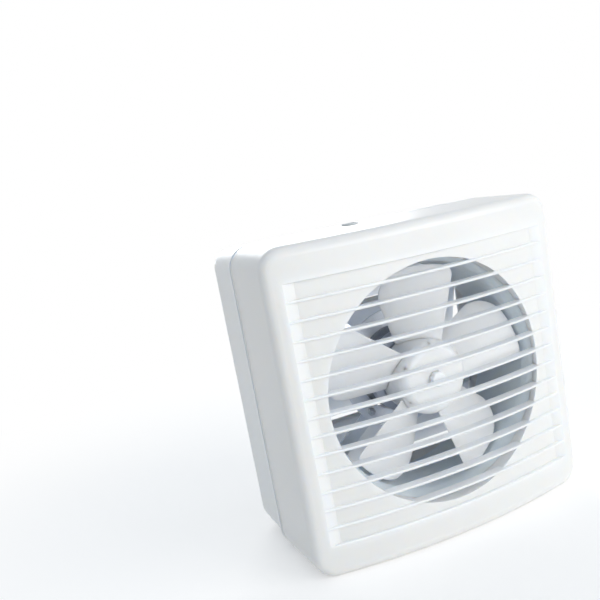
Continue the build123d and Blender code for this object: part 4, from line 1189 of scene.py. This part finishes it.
# %% Where the wires lie
WIRE_PITCH = 0.78
BUNDLE_RADIUS = 2.9


def bundle_places():
    """Where the wires lie in an opening: offsets outwards and sideways, packed in a hexagon."""
    places = []
    reach = int(BUNDLE_RADIUS / WIRE_PITCH) + 1
    for row in range(-reach, reach + 1):
        for column in range(-reach, reach + 1):
            out = row * WIRE_PITCH * math.sqrt(3) / 2
            side = (column + 0.5 * (row % 2)) * WIRE_PITCH
            if math.hypot(out, side) <= BUNDLE_RADIUS:
                places.append((out, side))
    return places


print("turns in a coil:", len(bundle_places()))

# %% [markdown]
# ## One turn of wire
# A turn is a rounded rectangle that is wrapped round the core. It is easy to draw flat, and its
# width then becomes an angle about the axis. A turn that lies farther out sideways also runs
# farther out at the ends, as in a real coil, and each point strays a little, because wire that is
# dead straight looks like wire in a drawing.

# %% One turn
COIL_OVERHANG = 3.3  # of the middle turn past the core
COIL_CORNER = 3.3
COIL_JITTER = 0.05
WIRE_CORNER_STEPS = 4
WIRE_RUN_STEPS = 6


def turn_points(out, side, noise):
    """One closed turn, in millimetres: a rounded rectangle wrapped round the core."""
    half_angle = math.pi / OPENING_COUNT
    half_width = OPENING_PITCH_RADIUS * half_angle + side
    half_height = CORE_LENGTH / 2 + COIL_OVERHANG + side
    corner = COIL_CORNER + side
    flat = []
    for quarter in range(4):
        sign_w = 1 if quarter in (0, 3) else -1
        sign_h = 1 if quarter in (0, 1) else -1
        for step in range(WIRE_CORNER_STEPS + 1):
            turn = math.pi / 2 * (quarter + step / WIRE_CORNER_STEPS)
            flat.append((
                sign_w * (half_width - corner) + corner * math.cos(turn),
                sign_h * (half_height - corner) + corner * math.sin(turn),
            ))
        if quarter in (0, 2):
            start, end = flat[-1][0], -flat[-1][0]
            for step in range(1, WIRE_RUN_STEPS):
                flat.append((start + (end - start) * step / WIRE_RUN_STEPS, flat[-1][1]))
    points = []
    for wide, high in flat:
        radius = OPENING_PITCH_RADIUS + out + noise.uniform(-COIL_JITTER, COIL_JITTER)
        angle = wide / OPENING_PITCH_RADIUS
        depth = CORE_FRONT + CORE_LENGTH / 2 + high + noise.uniform(-COIL_JITTER, COIL_JITTER)
        points.append((radius * math.cos(angle), depth, radius * math.sin(angle)))
    return points


print("points in one turn:", len(turn_points(0.0, 0.0, random.Random(0))))

# %% [markdown]
# ## The four coils
# Each turn becomes a closed spline, and the curve's bevel gives the wire its thickness. The random
# numbers come from one generator with a fixed seed, so the coil is the same each time. The ring
# tree repeats it for the four poles.

# %% Coils
COIL_COUNT = 4
COIL_SEED = 7
WIRE_RADIUS = 0.36


def coil_mesh():
    """All turns of one coil, which points along +X."""
    noise = random.Random(COIL_SEED)
    curve = bpy.data.curves.new("coil", "CURVE")
    curve.dimensions = "3D"
    curve.bevel_depth = WIRE_RADIUS * MM
    curve.bevel_resolution = 1
    for out, side in bundle_places():
        points = turn_points(out, side, noise)
        spline = curve.splines.new("POLY")
        spline.points.add(len(points) - 1)
        for control, (x, y, z) in zip(spline.points, points):
            control.co = (x * MM, y * MM, z * MM, 1.0)
        spline.use_cyclic_u = True
    carrier = bpy.data.objects.new("coil", curve)
    bpy.context.scene.collection.objects.link(carrier)
    depsgraph = bpy.context.evaluated_depsgraph_get()
    mesh = bpy.data.meshes.new_from_object(carrier.evaluated_get(depsgraph))
    bpy.data.objects.remove(carrier)
    return mesh


coils = grow(RING, coil_mesh(), "coil_enamel", Count=COIL_COUNT, First=math.pi / OPENING_COUNT)
finish_piece("winding_turns", coils, "coil_enamel", "housing", "stator_coils")

# %% [markdown]
# ## A thread
# The thread is the interesting part of a screw. A helix could be swept along a curve, but a shank
# is simpler as a tube whose radius rises and falls with depth, and whose wave slips by one pitch
# for each turn. The seam then closes by itself, and the mesh stays a plain grid.

# %% Shank and thread
SCREW_STEPS = 20
THREAD_CELLS = 4  # rows of faces in one pitch
THREAD_DEPTH_SHARE = 0.6  # of the pitch
POINT_SHARE = 0.85  # of the shank's radius that is left at its point
POINT_PITCHES = 0.5  # how many pitches long the narrowing to the point is


def add_shank(form, radius, length, pitch):
    """A threaded shank along +Y from depth 0, closed at both ends."""
    depth = THREAD_DEPTH_SHARE * pitch
    count = int(length / pitch * THREAD_CELLS)
    rows = []
    for row in range(count + 1):
        y = length * row / count
        from_point = min(1.0, (length - y) / (POINT_PITCHES * pitch))
        narrowing = POINT_SHARE + (1 - POINT_SHARE) * from_point
        points = []
        for step in range(SCREW_STEPS):
            phase = (y / pitch - step / SCREW_STEPS) % 1.0
            r = (radius - depth * abs(2 * phase - 1)) * narrowing
            angle = 2 * math.pi * step / SCREW_STEPS
            points.append((r * MM * math.cos(angle), y * MM, r * MM * math.sin(angle)))
        rows.append(points)
    grid = add_skin(form, rows, False, True)
    form.faces.new(grid[0])
    form.faces.new(grid[-1])


print("a pitch of thread has", THREAD_CELLS * SCREW_STEPS, "faces")

# %% [markdown]
# ## A pan head
# A pan head is a turned form with a cross pressed into it. Its section is a short straight side and
# a flat dome, and the cross is two arms that narrow towards their floor. Two Booleans cut them,
# which gives the head its real recess where a texture would stay flat.

# %% Head and cross
HEAD_STEPS = 2 * SCREW_STEPS
CROWN_SHARE = 0.62  # of the head's height that is domed
CROWN_FLAT = 0.55  # of the head's radius round which the dome's section turns
CROWN_TOP = 0.5  # of the head's radius where the dome ends
CROWN_STEPS = 6
CROSS_SHARE = 0.62  # of the head's radius that the cross reaches
CROSS_HALF_WIDTH = 0.45
CROSS_DEPTH_SHARE = 0.55  # of the head's height
CROSS_OVERLAP = 0.5  # how far above the head the cross starts
CROSS_TAPER = (1.1, 0.6)  # the share of its width that the cross has there and at its floor


def add_pan_head(form, radius, height):
    """A low round head in front of depth 0."""
    crown_height = CROWN_SHARE * height
    outline = [(radius, 0.0), (radius, crown_height - height)]
    for step in range(1, CROWN_STEPS):
        turn = math.pi / 2 * step / CROWN_STEPS
        outline.append((
            radius * (CROWN_FLAT + (1 - CROWN_FLAT) * math.cos(turn)),
            crown_height - height - crown_height * math.sin(turn),
        ))
    outline.append((CROWN_TOP * radius, -height))
    grid = add_turned(form, outline, HEAD_STEPS, close_outline=False)
    form.faces.new([row[0] for row in grid])
    form.faces.new([row[-1] for row in grid])


def add_cross_arm(form, reach, height, along_x):
    """One arm of the driver's cross, which narrows towards the screw's point."""
    half_x, half_z = (reach, CROSS_HALF_WIDTH) if along_x else (CROSS_HALF_WIDTH, reach)
    corners = ((-1, -1), (1, -1), (1, 1), (-1, 1))
    start, floor = -height - CROSS_OVERLAP, -height * (1 - CROSS_DEPTH_SHARE)
    rows = []
    for y, share in zip((start, floor), CROSS_TAPER):
        rows.append([
            (sx * half_x * share * MM, y * MM, sz * half_z * share * MM) for sx, sz in corners
        ])
    grid = add_skin(form, rows, False, True)
    form.faces.new(grid[0])
    form.faces.new(grid[1])


print("the cross reaches", CROSS_DEPTH_SHARE, "of the head's height into it")

# %% [markdown]
# ## Whole screws, four at a time
# Head and shank become one template, and the corner tree sets four of it round the fan's axis.
# Screws never line up in a real product, so the tree turns each copy by a random angle from a
# fixed seed. Those that are driven from outdoors are turned about first.

# %% Whole screws
ANY_TURN = (0.0, math.pi, 0.0)  # a screw may end at any angle about its own axis


def pan_screw(name, radius, length, head_radius, head_height, pitch):
    """A screw along +Y with its head in front of depth 0."""
    head = mesh_from(name, add_pan_head, head_radius, head_height)
    for along_x in (True, False):
        arm = mesh_from("cross_arm", add_cross_arm, head_radius * CROSS_SHARE, head_height, along_x)
        head = cut(head, arm)
    return joined(name, [head, mesh_from(name, add_shank, radius, length, pitch)])


def turned_to_rear(mesh):
    """The same form with its head outdoors and its point towards the room."""
    form = bmesh.new()
    form.from_mesh(mesh)
    bmesh.ops.rotate(form, matrix=Matrix.Rotation(math.pi, 3, "X"), verts=form.verts)
    form.to_mesh(mesh)
    form.free()
    return mesh


def screws_at_corners(name, screw, reach, depth, node, seed):
    """One screw at each corner of a square about the fan's axis, as a piece of the fan."""
    width = 2 * reach * MM
    screws = grow(
        CORNERS, screw, "screw_steel", Width=width, Height=width, Depth=depth * MM, Turn=ANY_TURN,
        Seed=seed,
    )
    finish_piece(name, screws, "screw_steel", "housing", node)


# %% [markdown]
# ## The clamp screws
# Four long machine screws pull the two halves together on the pane. Their heads seat in the inner
# flange and their points end in the housing's bosses. Little of them shows on the whole fan, but
# each piece is also looked at by itself, so they are made from head to point.

# %% Clamp screws
METRIC_PITCH = 0.7
FLANGE_FRONT = -5.0
CLAMP_REACH = 130.0  # of the clamp screws from the fan's axis, sideways and up
CLAMP_END = 46.0

clamp_screw = pan_screw(
    "clamp_screw", radius=2.0, length=CLAMP_END - FLANGE_FRONT, head_radius=4.2, head_height=2.8,
    pitch=METRIC_PITCH,
)
screws_at_corners("clamp_screw_set", clamp_screw, CLAMP_REACH, FLANGE_FRONT, "clamp_screws", seed=2)

# %% [markdown]
# ## The bracket's screws
# The motor's bracket is held by four thread-forming screws, driven from outdoors into plastic
# bosses. A coarse thread holds in plastic, so their pitch is wider than a machine screw's.

# %% Bracket screws
COARSE_PITCH = 1.2
BRACKET_SEAT = 4.0
BRACKET_END = -3.0
BRACKET_REACH = 119.0 * math.sqrt(0.5)

bracket_screw = turned_to_rear(pan_screw(
    "bracket_screw", radius=1.9, length=BRACKET_SEAT - BRACKET_END, head_radius=3.8, head_height=2.4,
    pitch=COARSE_PITCH,
))
screws_at_corners(
    "bracket_screw_set", bracket_screw, BRACKET_REACH, BRACKET_SEAT, "bracket_screws", seed=3
)

# %% [markdown]
# ## The motor's screws and nuts
# The motor hangs in rubber bushes, and four machine screws with nuts pass through these. Screw and
# nut are joined in one template, so that a copy of the one always brings the other.

# %% Motor screws
MOUNT_REACH = 53.0 * math.sqrt(0.5)
MOUNT_SEAT = 1.0
MOUNT_END = -13.5
MOUNT_NUT = (-9.0, -12.2)  # depths of the nuts' faces
NUT_RADIUS = 4.0
NUT_BEVEL = 0.4
NUT_FACE_SHARE = 0.92  # of the nut's radius that its faces reach


def add_nut(form, y_rear, y_front):
    """A hexagon nut about the fan's axis, with its corners turned off."""
    depths = (y_rear, y_rear - NUT_BEVEL, y_front + NUT_BEVEL, y_front)
    turns = [math.pi / 3 * step for step in range(6)]
    rows = []
    for y, share in zip(depths, (NUT_FACE_SHARE, 1.0, 1.0, NUT_FACE_SHARE)):
        radius = share * NUT_RADIUS * MM
        rows.append([(radius * math.cos(turn), y * MM, radius * math.sin(turn)) for turn in turns])
    grid = add_skin(form, rows, False, True)
    form.faces.new(grid[0])
    form.faces.new(grid[-1])


mount_screw = turned_to_rear(pan_screw(
    "mount_screw", radius=2.0, length=MOUNT_SEAT - MOUNT_END, head_radius=4.0, head_height=2.6,
    pitch=METRIC_PITCH,
))
nut_depths = [depth - MOUNT_SEAT for depth in MOUNT_NUT]
mount_screw = joined("mount_screw", [mount_screw, mesh_from("nut", add_nut, *nut_depths)])
screws_at_corners("motor_screw_set", mount_screw, MOUNT_REACH, MOUNT_SEAT, "motor_screws", seed=5)
